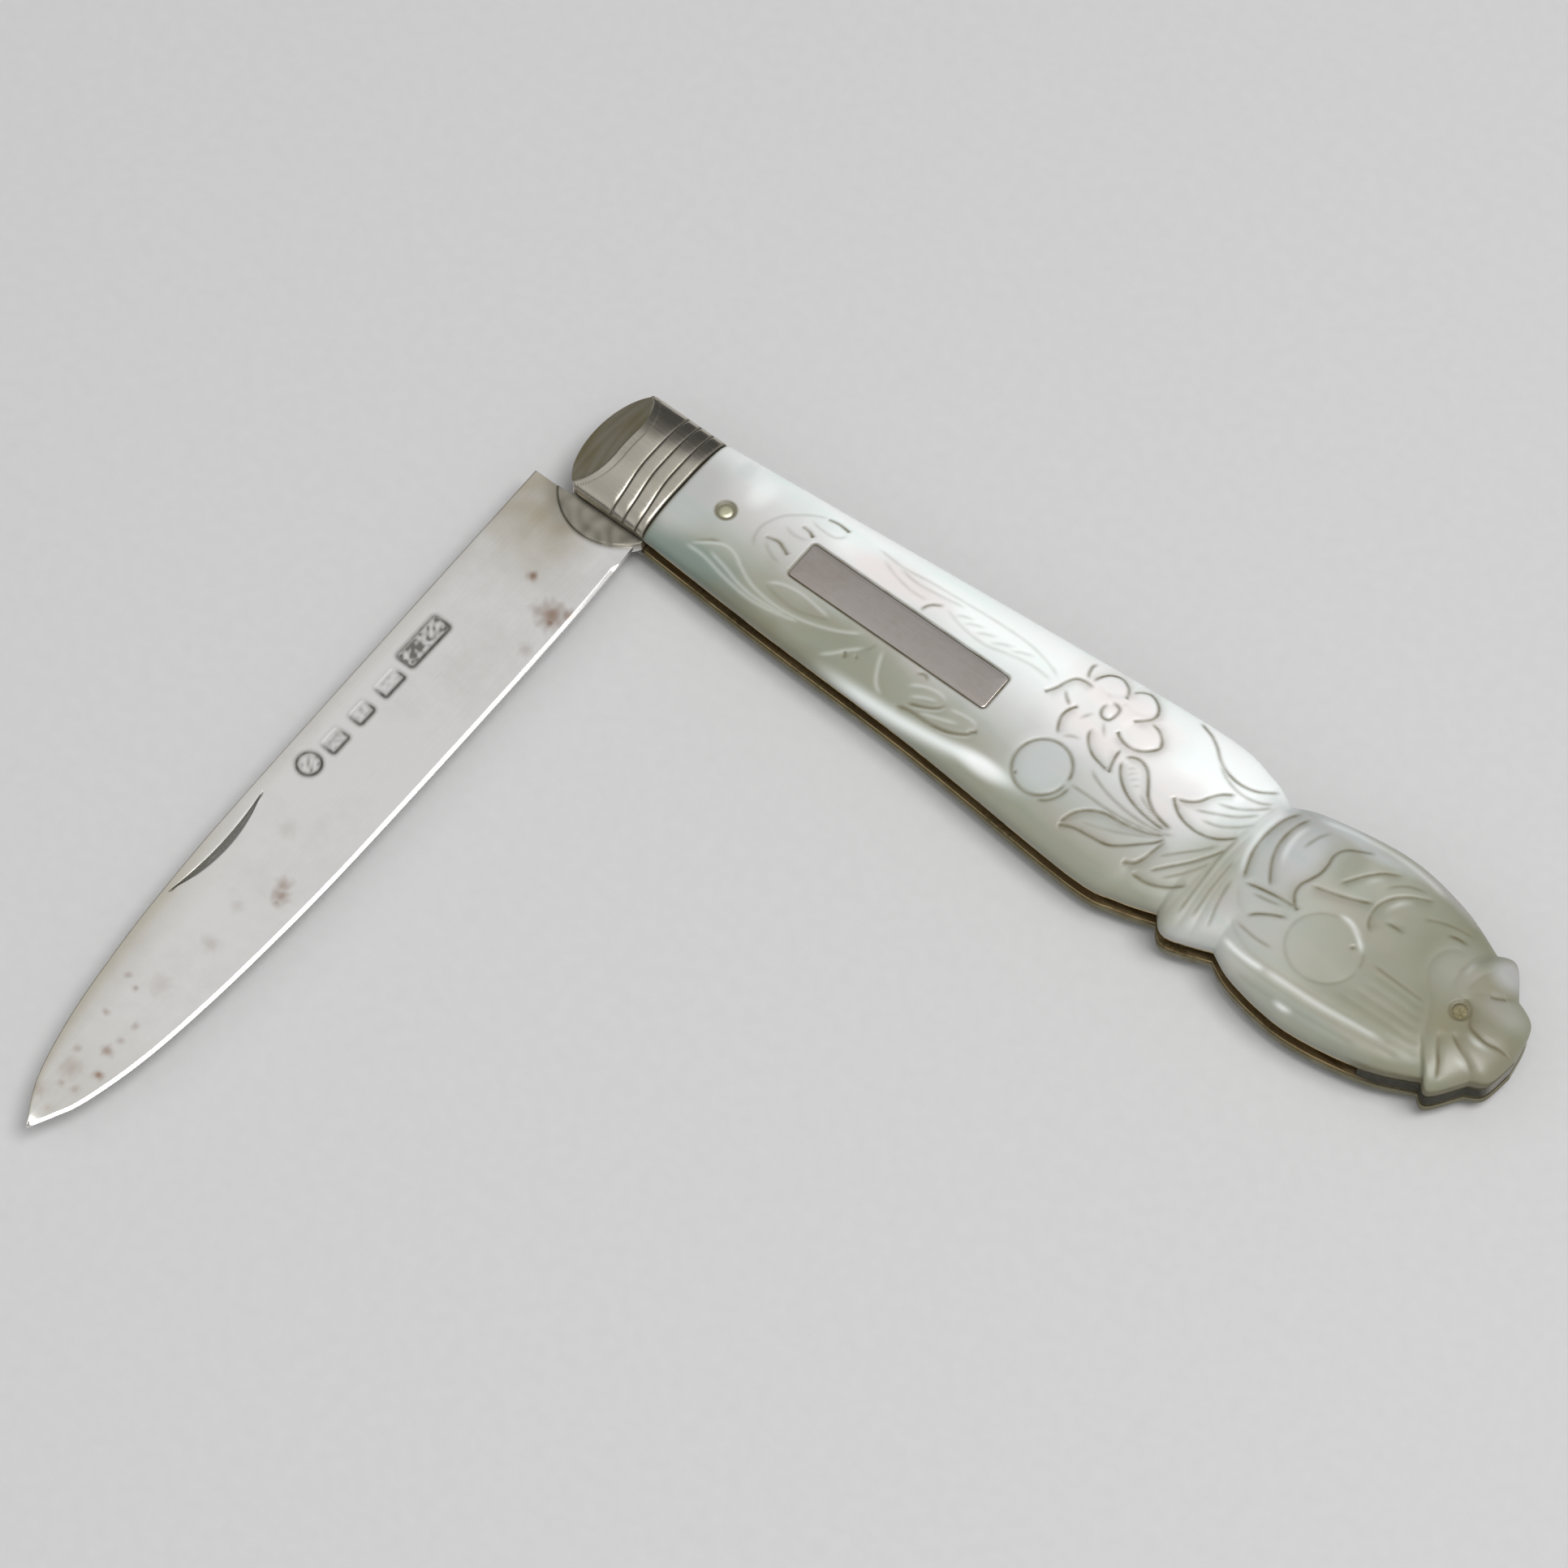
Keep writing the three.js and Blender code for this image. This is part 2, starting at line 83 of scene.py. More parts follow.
# Handle outline, as in the solids: places along each side with half widths.
JUNCTION_X = 3.6
BOLSTER_HALF = 5.1
TAIL_X = 79.8
CREST_X = TAIL_X - 8.35
OUTLINE_STEPS = 24
BACK_LOBES = [
    [(JUNCTION_X, BOLSTER_HALF), (15.792, 6.08), (30.27, 7.28), (47.5, 8.5), (52.9, 7.8), (55.4, 6.7)],
    [(55.4, 6.7), (58.0, 7.75), (64.5, 8.7), (70.0, 7.85), (74.1, 6.15)],
    [(74.1, 6.15), (75.6, 6.45), (77.4, 4.1)],
    [(77.4, 4.1), (79.2, 3.0), (TAIL_X, 0.0)],
]
SLOT_LOBES = [
    [(JUNCTION_X, BOLSTER_HALF), (15.792, 5.82), (30.27, 6.42), (45.5, 7.65), (49.6, 7.15), (52.6, 6.2)],
    [(52.6, 6.2), (54.1, 7.35), (57.65, 6.15)],
    [(57.65, 6.15), (60.2, 7.28), (65.3, 7.95), (71.5, 6.95), (75.35, 5.25)],
    [(75.35, 5.25), (76.35, 5.8), (78.15, 3.35)],
    [(78.15, 3.35), (79.35, 2.5), (TAIL_X, 0.0)],
]

# Columns across a strip: those close to an edge, where the
# even ones start, and the least width that takes them whole.
EDGE_OFFSETS = np.array([0.0, 0.012, 0.045, 0.1])
EDGE_START = 0.17
EDGE_FULL = 0.8

# Scale: rows along the body, closer rows on the rounded end, columns across, and the least height.
SCALE_ROWS = 640
SCALE_COLUMNS = 116
END_LENGTH = 0.6
END_ROWS = 26
END_SHARE = 0.985
END_CROWD = 1.6
SCALE_LEAST = 0.3
# At the bolster the pearl drops by a depth within a distance, and is stained over a width.
END_DROP = (0.3, 0.12)
END_STAIN = 0.2
# Painted shade, with some dirt, on the wall beside the slot: its strength,
# where it begins on the front scale, and how far it creeps onto each face.
SLOT_SHADE_AND_DIRT = 0.85
TAIL_SHADE = (69.5, 72.0)
SLOT_CREEP = {"front_scale": 0.2, "back_scale": 0.6}
CREEP_FULL = 0.02

# Rivets: their places, how dark the pearl is round each, how
# it dips to a head, and a head's radii with their drops.
SCALE_PIN = (7.6, CENTRE_Y)
TAIL_PIN = (74.6, CENTRE_Y + 0.4)
RIVET_STAINS = ((SCALE_PIN, 0.8), (TAIL_PIN, 0.7))
RIVET_STAIN_RING = (1.0, 0.8)
RIVET_DIP = 0.12
RIVET_DIP_RING = (0.9, 0.62)
PIN_RADIUS = 0.6
PIN_HEAD = [(0.0, 0.0), (0.3, 0.006), (0.5, 0.025), (PIN_RADIUS, 0.1)]
PIN_SIDES = 40
PIN_TIP = 0.02
# The pivot pin ends under the bolsters' crowns.
PIVOT_RADIUS = 1.0
PIVOT_CHAMFER = 0.1
PIVOT_SINK = 0.4

# Name plate: its outline, its profile as insets with heights against its rim,
# and its seat in the pearl, darkened with stain and painted shade on its wall.
PLATE_CENTRE = (23.8, CENTRE_Y + 0.28)
PLATE_HALF = (9.2, 1.65)
PLATE_CORNER = 0.3
PLATE_PROFILE = [(0.0, -0.35), (0.0, -0.06), (0.02, -0.02), (0.07, 0.0), (0.1, 0.002), (0.6, 0.012),
                 (1.3, 0.02)]
CORNER_LEAST = 0.05
CORNER_STEPS = 9
SEAT_DEPTH = 0.25
SEAT_WALL = (0.2, 0.0)
SEAT_DARK = 0.85
SEAT_DARK_REACH = (0.26, 0.02)

# Bolster: half an ellipse in plan at its front end, cut by a slightly bowed facet with a raised border.
BOLSTER_ROWS = 84
BOLSTER_COLUMNS = 280
BOLSTER_FRONT = -5.2
BOLSTER_SHOULDER = -2.5
BOLSTER_BACK = JUNCTION_X - 0.02
FACET_LOW = 0.2
FACET_X = -1.5
FACET_SLOPE = (THICK - FACET_LOW) / (FACET_X - BOLSTER_FRONT)
FACET_BOW = 0.011
FACET_EASE = 0.05
FACET_BORDER = 0.24
BORDER_RISE = 0.9
BORDER_FALL = 0.03
# Painted shade in the step inside the border (strength, place and width), and
# soil on the rim (strength, width and reach past the facet).
FACET_SHADE = (0.5, 0.04, 0.05)
RIM_SOIL = (0.75, 0.045, 0.4)
# Streaks of tarnish on the facet: how much finer they are along than across, and their patches.
FACET_FINER = 6.0
FACET_STREAKS = (0.4, 0.45, 1.6)
# Threads: places, how far they bow and where in full, wall, how the band
# before each rounds off, and soil (strength, reach before and after).
THREADS = (0.1, 1.25, 2.45)
THREAD_BOW = (0.4, 4.2)
THREAD_WALL = 0.04
BAND_ROUND = 1.1
BAND_FALL = 0.22
THREAD_SOIL = (0.95, 0.13, 0.07)
# The step at the bolster's end: depth in threads, wall and reach of its soil.
END_STEP = (2.0, 0.05)
END_SOIL = 0.12

# Blade, in its own frame: x from the pivot to the tip, -y to the spine, +y to the edge.
HEEL_X = 3.75
BLADE_LENGTH = 68.0
TIP = (BLADE_LENGTH, -0.8)
SPINE_LINE = [(HEEL_X, -6.85), (36.0, -6.15), (48.0, -5.6), (56.0, -4.736), (61.0, -3.824), (65.0, -2.6), TIP]
EDGE_LINE = [(HEEL_X, 3.1), (10.6, 3.448), (20.875, 3.622), (38.0, 3.68), (47.9, 3.344), (55.1, 2.784),
             (59.9, 2.112), (64.1, 1.082), (66.2, 0.141), TIP]
BLADE_STEPS = 60
BLADE_ROWS = 520
ROW_CROWD = 1.2
TIP_GAP = 0.05
LEAST_WIDTH = 0.1
# Half thickness at the spine, at the bevel and at the edge,
# what is left of it at the tip, and the spine's rounding.
HALF_THICK = (0.5, 0.25, 0.118)
TIP_TAPER = 0.65
SPINE_ROUND = (0.1, 0.04)
# Bevel: width, its greatest share of the blade's width, where it begins past the heel, and least width.
BEVEL_WIDTH = 0.25
BEVEL_SHARE = 0.4
BEVEL_FROM = (6.0, 6.8)
BEVEL_LEAST = 0.03
# Columns from the spine to the nick, across the nick, on
# to the bevel and to the edge; the back face needs fewer.
SPINE_SHARES = np.array([0, 0.01, 0.03, 0.07, *np.linspace(0.12, 1, 10)])
NICK_COLUMNS = 10
FACE_COLUMNS = 76
BEVEL_COLUMNS = 5
BACK_FIRST = 4
BACK_STEP = 12
# Nail nick: a bowed crescent, steep beside the spine behind
# a shallow lip; soil at its steep side and its loss across.
NICK_X = 42.5
NICK_HALF = 5.2
NICK_HORN = -5.18
NICK_BOW = 0.43
NICK_WIDTH = 0.68
NICK_LEAST = 0.02
NICK_MARGIN = 0.05
NICK_STEEP = 0.12
NICK_LIP = (0.16, 0.024)
NICK_SOIL = (0.97, 0.5)
NICK_SOIL_FADE = 0.1

# Tang: flats round the pivot, one of them tilted, round corners
# at its tail, and an arc (centre and radius) on the leaf.
TANG_HALF = 3.3
TANG_CORNER = 2.0
TANG_TILT = math.radians(4.0)
TANG_THICK = 1.2
TANG_ARC = (1.0, -0.55, 4.9)
TANG_SPLIT = 2.0
PIVOT_HOLE = 1.05
RING_SIDES = 240
RING_EASE = 0.07
# Rows to the heel, with a close one before it, and on to the
# arc's end; columns; and the eased edge's drop and width.
TANG_ROWS = 8
TANG_CLOSE = 0.002
ARC_ROWS = np.linspace(0.01, 0.99, 60)
TANG_COLUMNS = 40
TANG_EASE = (0.06, 0.09)
# The tang's soil: patches, a line inside its edge (strength, place and squared width), and its even toning.
TANG_SOIL = (0.4, 0.35, 0.45)
TANG_RIM = (0.45, 0.25, 0.03)
TANG_TONING = 0.75
# Painted shadow on the leaf below the tang's step along its arc: a line (width,
# least, more and where) and a broader painted shade (strength, width and where).
LINE_WIDTH = 0.2
LINE_SHADOW = (0.45, 0.5)
LINE_SIDE = (2.5, -2.0)
SHADE_STRENGTH = 0.4
SHADE_WIDTH = 0.9
SHADE_SIDE = (-0.5, -3.5)
# Toning of the leaf: at the heel (along, across and patches),
# on the spine, beside it past the nick, and at the tip.
HEEL_TONING = ((14.0, 6.0), (2.0, -2.5), (0.65, 0.35, 0.9))
SPINE_TONING = (0.3, (0.16, 0.0))
BACK_TONING = (0.45, (0.4, 0.0), (38.0, 50.0))
TIP_TONING = (0.25, (56.0, 64.0))

# Cuts of the carver's tools: depth, steep and gentle half widths, the gentle
# side (1 left, -1 right), how dark the cut is stained, how bright a painted
# highlight along it is, its weight at the start and at the end, and how far
# an end fades. The gleam, sheen and glow tools paint highlights only.
TOOLS = {
    "fine": (0.05, 0.1, 0.1, 1, 0.55, 0.0, 0.9, 0.9, 0.9),
    "faint": (0.05, 0.12, 0.12, 1, 0.26, 0.0, 0.9, 0.9, 0.9),
    "pale": (0.06, 0.15, 0.15, 1, 0.06, 0.26, 0.9, 0.9, 0.9),
    "cut": (0.1, 0.13, 0.13, 1, 0.85, 0.0, 0.9, 0.9, 0.6),
    "left": (0.13, 0.12, 0.5, 1, 0.92, 0.0, 0.9, 1.0, 0.6),
    "right": (0.13, 0.12, 0.5, -1, 0.92, 0.0, 0.9, 1.0, 0.6),
    "dark": (0.13, 0.16, 0.22, 1, 1.0, 0.0, 0.6, 1.0, 0.12),
    "flute": (0.05, 0.3, 0.3, 1, 0.2, 0.0, 0.8, 0.8, 1.2),
    "hair": (0.03, 0.08, 0.08, 1, 0.35, 0.0, 0.8, 0.8, 0.6),
    "bank": (0.11, 0.15, 0.6, 1, 0.9, 0.0, 0.9, 1.0, 0.8),
    "shelf": (0.11, 0.15, 0.6, -1, 0.9, 0.0, 0.9, 1.0, 0.8),
    "score": (0.1, 0.14, 0.4, 1, 0.95, 0.0, 0.9, 0.9, 0.8),
    "gleam": (0.0, 0.2, 0.2, 1, 0.0, 0.62, 0.9, 0.9, 1.0),
    "sheen": (0.0, 0.24, 0.24, 1, 0.0, 0.42, 0.9, 0.7, 1.6),
    "glow": (0.0, 0.5, 0.5, 1, 0.0, 0.85, 0.85, 0.8, 6.0),
}
# A stroke's points, how far a cut reaches in half widths, the power of its fall,
# the width of its line's stain, and the strength of the painted shade beside it.
STROKE_STEPS = 10
CUT_REACH = 2.6
GROOVE_POWER = 1.4
STAIN_WIDTH = 0.15
SOFT_PAINTED_SHADE = 0.32

# Strokes on each part of the relief, as a tool and the points that it goes through.
BUD_CUTS = [
    ("pale", [(7.0, -2.35), (7.9, -1.75), (8.7, -1.25), (9.6, -0.92), (10.6, -1.1), (12.0, -1.9)]),
    ("fine", [(7.0, -2.2), (7.75, -1.55), (8.5, -1.05), (9.2, -0.78)]),
    ("pale", [(10.4, -1.0), (11.6, -1.65), (13.2, -2.3), (15.5, -2.55), (18.0, -2.3), (20.5, -1.5),
              (22.4, -0.4)]),
    ("pale", [(6.7, -2.5), (8.6, -2.5), (11.0, -2.95), (13.6, -3.2), (16.0, -2.95), (18.0, -2.5)]),
    ("pale", [(8.6, -1.9), (10.5, -2.3), (12.5, -2.8), (14.6, -2.9), (17.0, -2.7)]),
    ("pale", [(13.7, -1.6), (14.8, -0.95), (16.4, -0.66), (18.0, -0.8), (19.6, -1.05)]),
    ("hair", [(13.7, -1.6), (15.2, -1.9), (17.0, -1.95), (18.8, -1.4), (19.6, -1.05)]),
    ("hair", [(23.6, -0.3), (23.3, -1.2), (22.6, -2.0)]),
    ("pale", [(24.2, -0.5), (24.7, -1.8), (25.5, -3.1), (26.6, -3.7)]),
    ("pale", [(20.3, -3.8), (21.3, -3.1), (22.2, -2.2), (23.3, -1.2)]),
    ("dark", [(22.3, -2.9), (22.1, -2.6), (21.95, -2.35)]),
    ("dark", [(22.85, -2.4), (23.05, -2.2)]),
]
BELL_CUTS = [
    ("faint", [(14.2, 5.95), (13.2, 5.45), (12.2, 4.7), (11.3, 3.85), (10.75, 2.9), (10.5, 1.95),
               (10.7, 0.9), (11.3, 0.2)]),
    ("dark", [(14.0, 5.75), (14.9, 5.95), (16.05, 5.85)]),
    ("faint", [(12.9, 5.0), (13.9, 4.7), (15.3, 4.7), (15.95, 5.2), (16.0, 5.8)]),
    ("dark", [(12.9, 3.95), (13.6, 3.95), (14.25, 3.65)]),
    ("faint", [(11.7, 3.4), (12.6, 3.0), (13.7, 3.15), (14.2, 3.6)]),
    ("dark", [(11.3, 1.55), (12.3, 1.8), (13.0, 1.6), (13.65, 1.3)]),
    ("faint", [(11.3, 1.5), (12.0, 0.9), (12.9, 0.5), (13.8, 0.4)]),
]
FEATHER_CUTS = [
    ("faint", [(18.4, 6.15), (21.0, 5.95), (23.5, 6.25), (26.5, 6.45), (29.5, 6.62), (32.2, 6.6),
               (34.6, 6.1), (35.9, 5.5)]),
    ("faint", [(19.4, 5.6), (20.8, 5.05), (22.6, 4.7), (24.4, 4.75)]),
    ("cut", [(24.35, 3.6), (24.4, 4.2), (24.8, 4.75), (25.6, 5.2)]),
    ("faint", [(25.6, 5.2), (27.2, 4.65), (29.6, 4.4), (31.6, 4.85), (33.6, 5.2), (35.7, 5.05)]),
    ("faint", [(26.4, 4.75), (27.0, 5.3), (28.2, 5.7)]),
    ("faint", [(27.3, 4.65), (28.0, 5.2), (29.2, 5.65)]),
    ("faint", [(28.4, 4.55), (29.2, 5.1), (30.4, 5.6)]),
    ("faint", [(29.8, 4.6), (30.7, 5.2), (31.9, 5.7)]),
    ("faint", [(31.4, 5.0), (32.4, 5.6), (33.6, 6.0)]),
    ("faint", [(20.6, 5.9), (22.4, 5.5), (24.6, 5.7), (27.0, 6.1)]),
]
SPRAY_CUTS = [
    ("pale", [(27.3, -1.95), (28.5, -1.2), (29.8, -0.95), (30.8, -1.3)]),
    ("score", [(30.8, -1.3), (30.2, -2.05), (29.1, -2.65), (27.9, -3.05)]),
    ("pale", [(31.0, -1.45), (30.4, -2.2), (29.3, -2.8), (28.2, -3.15)]),
    ("pale", [(27.9, -2.6), (29.0, -1.95), (30.3, -1.45)]),
    ("pale", [(30.9, -1.6), (32.2, -1.3), (33.2, -1.3), (33.8, -1.72)]),
    ("score", [(33.85, -1.75), (33.2, -2.45), (32.0, -3.05), (30.4, -3.3), (28.6, -3.35), (27.4, -3.7)]),
    ("pale", [(33.95, -1.95), (33.4, -2.6), (32.2, -3.2), (30.6, -3.5)]),
    ("dark", [(33.3, -2.2), (33.85, -1.72)]),
    ("pale", [(29.2, -3.1), (30.9, -2.6), (32.6, -2.0)]),
    ("cut", [(27.2, -0.75), (27.9, -0.35), (28.5, -0.75)]),
]
FLOWER_CUTS = [
    ("left", [(38.0, 6.85), (38.1, 7.6), (38.6, 8.4), (39.4, 8.75), (40.2, 8.4), (40.6, 7.9),
              (40.75, 7.35)]),
    ("dark", [(40.5, 8.1), (40.65, 7.75), (40.78, 7.3)]),
    ("cut", [(37.35, 8.7), (37.15, 8.1), (37.35, 7.3), (37.75, 6.85)]),
    ("left", [(40.75, 7.9), (41.15, 8.6), (41.9, 9.0), (42.8, 8.6), (43.35, 7.8), (43.2, 7.0),
              (42.3, 6.1)]),
    ("dark", [(43.3, 7.1), (42.85, 6.6), (42.3, 6.1)]),
    ("right", [(41.9, 4.7), (42.5, 4.35), (43.3, 4.2), (44.1, 4.4), (44.8, 4.95), (45.2, 5.6),
               (44.9, 6.2), (44.2, 6.7), (43.3, 6.85)]),
    ("dark", [(43.0, 4.2), (42.4, 4.38), (41.88, 4.75)]),
    ("dark", [(44.6, 6.5), (44.95, 6.1), (45.2, 5.65)]),
    ("left", [(40.25, 3.95), (40.4, 3.2), (40.9, 2.55), (41.7, 2.0), (42.6, 1.78), (43.45, 1.6)]),
    ("right", [(43.0, 3.85), (43.02, 3.0), (43.2, 2.2), (43.45, 1.6)]),
    ("dark", [(43.05, 2.6), (43.25, 2.0), (43.45, 1.55)]),
    ("left", [(38.4, 4.55), (38.0, 3.95), (37.9, 3.2), (38.2, 2.4), (38.65, 1.7)]),
    ("dark", [(37.98, 3.7), (38.1, 4.15), (38.4, 4.6)]),
    ("fine", [(40.4, 2.5), (39.5, 2.3), (38.7, 1.7)]),
    ("left", [(38.5, 6.5), (37.6, 6.62), (36.85, 6.35), (36.45, 5.65), (36.2, 4.9), (35.7, 4.05)]),
    ("dark", [(36.5, 5.6), (36.2, 4.85), (35.65, 4.0)]),
    ("cut", [(36.7, 5.25), (37.2, 4.7), (38.0, 4.15)]),
    ("cut", [(39.95, 6.35), (40.45, 6.45), (40.95, 6.25), (41.0, 5.6), (40.8, 5.05), (40.25, 5.0),
             (39.9, 5.5), (39.95, 6.35)]),
    ("fine", [(39.4, 7.1), (39.7, 6.7), (39.9, 6.4)]),
    ("fine", [(41.2, 7.2), (41.0, 6.7), (40.9, 6.4)]),
    ("fine", [(40.5, 4.9), (41.0, 4.2), (41.6, 3.5)]),
    ("fine", [(39.8, 5.0), (39.3, 4.3), (39.0, 3.6)]),
]
CHERRY_CENTRE = (39.3, -1.05)
CHERRY_RADII = (2.2, 2.35)
CHERRY_CUTS = [
    ("dark", [(37.85, -2.75), (38.1, -2.5)]),
    ("cut", [(41.9, -1.1), (41.75, -2.1), (41.2, -3.0), (40.4, -3.5)]),
    ("fine", [(41.6, -0.95), (43.2, -0.9), (45.2, -0.92), (47.4, -0.7), (49.2, -0.2), (50.4, 0.5)]),
]
LEAF_CUTS = [
    ("left", [(49.9, 0.62), (48.8, 0.78), (47.8, 1.1), (46.9, 1.75), (46.2, 2.7), (45.5, 3.5),
              (44.7, 3.82), (44.0, 3.65), (43.6, 3.15)]),
    ("right", [(49.6, 0.3), (48.4, 0.32), (47.0, 0.5), (45.6, 0.95), (44.6, 1.6), (43.9, 2.4),
               (43.6, 3.15)]),
    ("hair", [(44.2, 2.4), (44.6, 2.9), (45.1, 3.2)]),
    ("hair", [(44.5, 2.0), (44.9, 2.6), (45.4, 3.0)]),
    ("hair", [(44.8, 1.75), (45.3, 2.3), (45.8, 2.7)]),
    ("hair", [(45.3, 1.5), (45.8, 2.0), (46.2, 2.3)]),
    ("fine", [(46.0, 1.7), (47.0, 1.2), (48.4, 0.7)]),
    ("fine", [(42.1, 1.15), (43.0, 0.6), (44.5, 0.12), (46.5, -0.18), (48.4, -0.15), (49.8, 0.1)]),
    ("left", [(49.9, 0.05), (48.5, -0.68), (46.8, -1.1), (45.2, -1.3), (44.1, -1.85), (43.4, -2.65),
              (43.1, -3.5), (43.0, -4.05)]),
    ("right", [(50.0, -0.1), (49.5, -0.9), (48.7, -1.7), (47.8, -2.55), (46.8, -3.2), (45.4, -3.4),
               (44.0, -3.6), (43.05, -4.1)]),
    ("dark", [(44.2, -3.55), (43.6, -3.7), (43.0, -4.1)]),
    ("hair", [(44.0, -3.0), (45.6, -2.5), (47.4, -1.7), (49.0, -0.7)]),
    ("left", [(50.1, -0.2), (49.85, -1.3), (49.65, -2.4), (49.25, -3.2), (48.55, -3.55)]),
    ("dark", [(49.65, -2.3), (49.25, -3.2), (48.5, -3.58)]),
    ("right", [(53.5, -2.2), (52.2, -3.2), (50.8, -3.78), (49.3, -3.85)]),
    ("cut", [(50.4, -3.1), (51.4, -1.9), (52.4, -0.7), (53.4, 0.8), (54.0, 2.0)]),
    ("fine", [(51.3, -3.2), (52.3, -2.0), (53.2, -0.7), (53.8, 0.6)]),
    ("fine", [(50.2, -1.9), (51.2, -0.7), (52.4, 0.6), (53.4, 1.9)]),
    ("left", [(52.0, 5.9), (51.1, 5.35), (50.5, 4.6), (50.0, 3.75), (49.3, 3.2), (48.4, 2.9)]),
    ("right", [(54.2, 3.3), (52.9, 2.15), (51.5, 1.7), (50.2, 1.78), (49.2, 2.2), (48.4, 2.88)]),
    ("dark", [(49.3, 2.3), (48.8, 2.55), (48.35, 2.95)]),
    ("fine", [(49.9, 2.9), (51.4, 3.6), (53.0, 4.5), (54.4, 5.8)]),
    ("fine", [(50.8, 2.6), (52.3, 3.0), (53.6, 3.9), (54.6, 5.0)]),
    ("fine", [(50.9, 4.4), (52.4, 4.9), (53.8, 5.9), (54.7, 7.0)]),
    ("cut", [(46.0, 9.45), (47.4, 8.95), (48.4, 8.3), (49.3, 7.5), (50.4, 6.95), (51.6, 6.8), (52.8, 7.1),
             (53.6, 7.7), (54.2, 8.4)]),
    ("fine", [(49.2, 7.4), (50.6, 6.5), (52.2, 6.15), (53.7, 6.5), (54.6, 7.3)]),
]
WAIST_CUTS = [
    ("flute", [(54.9, 7.6), (54.35, 5.2), (53.9, 2.6), (53.65, 0.0), (53.5, -2.8), (53.3, -5.4)]),
    ("flute", [(54.7, 4.4), (54.45, 1.6), (54.45, -1.4), (54.6, -4.2), (54.7, -5.9)]),
    ("flute", [(55.1, 2.4), (55.2, -0.6), (55.5, -3.2), (55.9, -5.6)]),
    ("fine", [(54.1, 3.4), (53.9, 1.0), (54.0, -1.6), (54.1, -4.6)]),
    ("fine", [(54.9, 1.8), (54.9, -1.2), (55.1, -4.2)]),
    ("fine", [(55.6, 0.4), (55.9, -1.8), (56.5, -4.2)]),
    ("score", [(56.6, 7.95), (56.0, 7.1), (55.65, 6.0), (55.46, 4.5), (55.52, 3.0), (55.9, 1.7),
               (56.35, 0.55)]),
    ("score", [(57.35, 7.95), (56.9, 7.0), (56.66, 5.8), (56.66, 4.5), (57.0, 3.3), (57.6, 2.2),
               (58.25, 1.25)]),
    ("fine", [(59.3, 7.95), (58.75, 7.2), (58.4, 6.2), (58.2, 5.2)]),
    ("score", [(56.35, 0.5), (57.4, 0.78), (58.9, 1.05), (60.0, 1.15), (60.85, 1.05)]),
    ("fine", [(57.2, 0.15), (58.7, 0.4), (60.0, 0.75)]),
    ("flute", [(56.0, 0.6), (56.6, -0.4), (57.3, -1.15), (58.2, -1.3)]),
    ("score", [(58.1, -1.75), (58.6, -1.05), (59.6, -0.35), (60.8, 0.2)]),
]
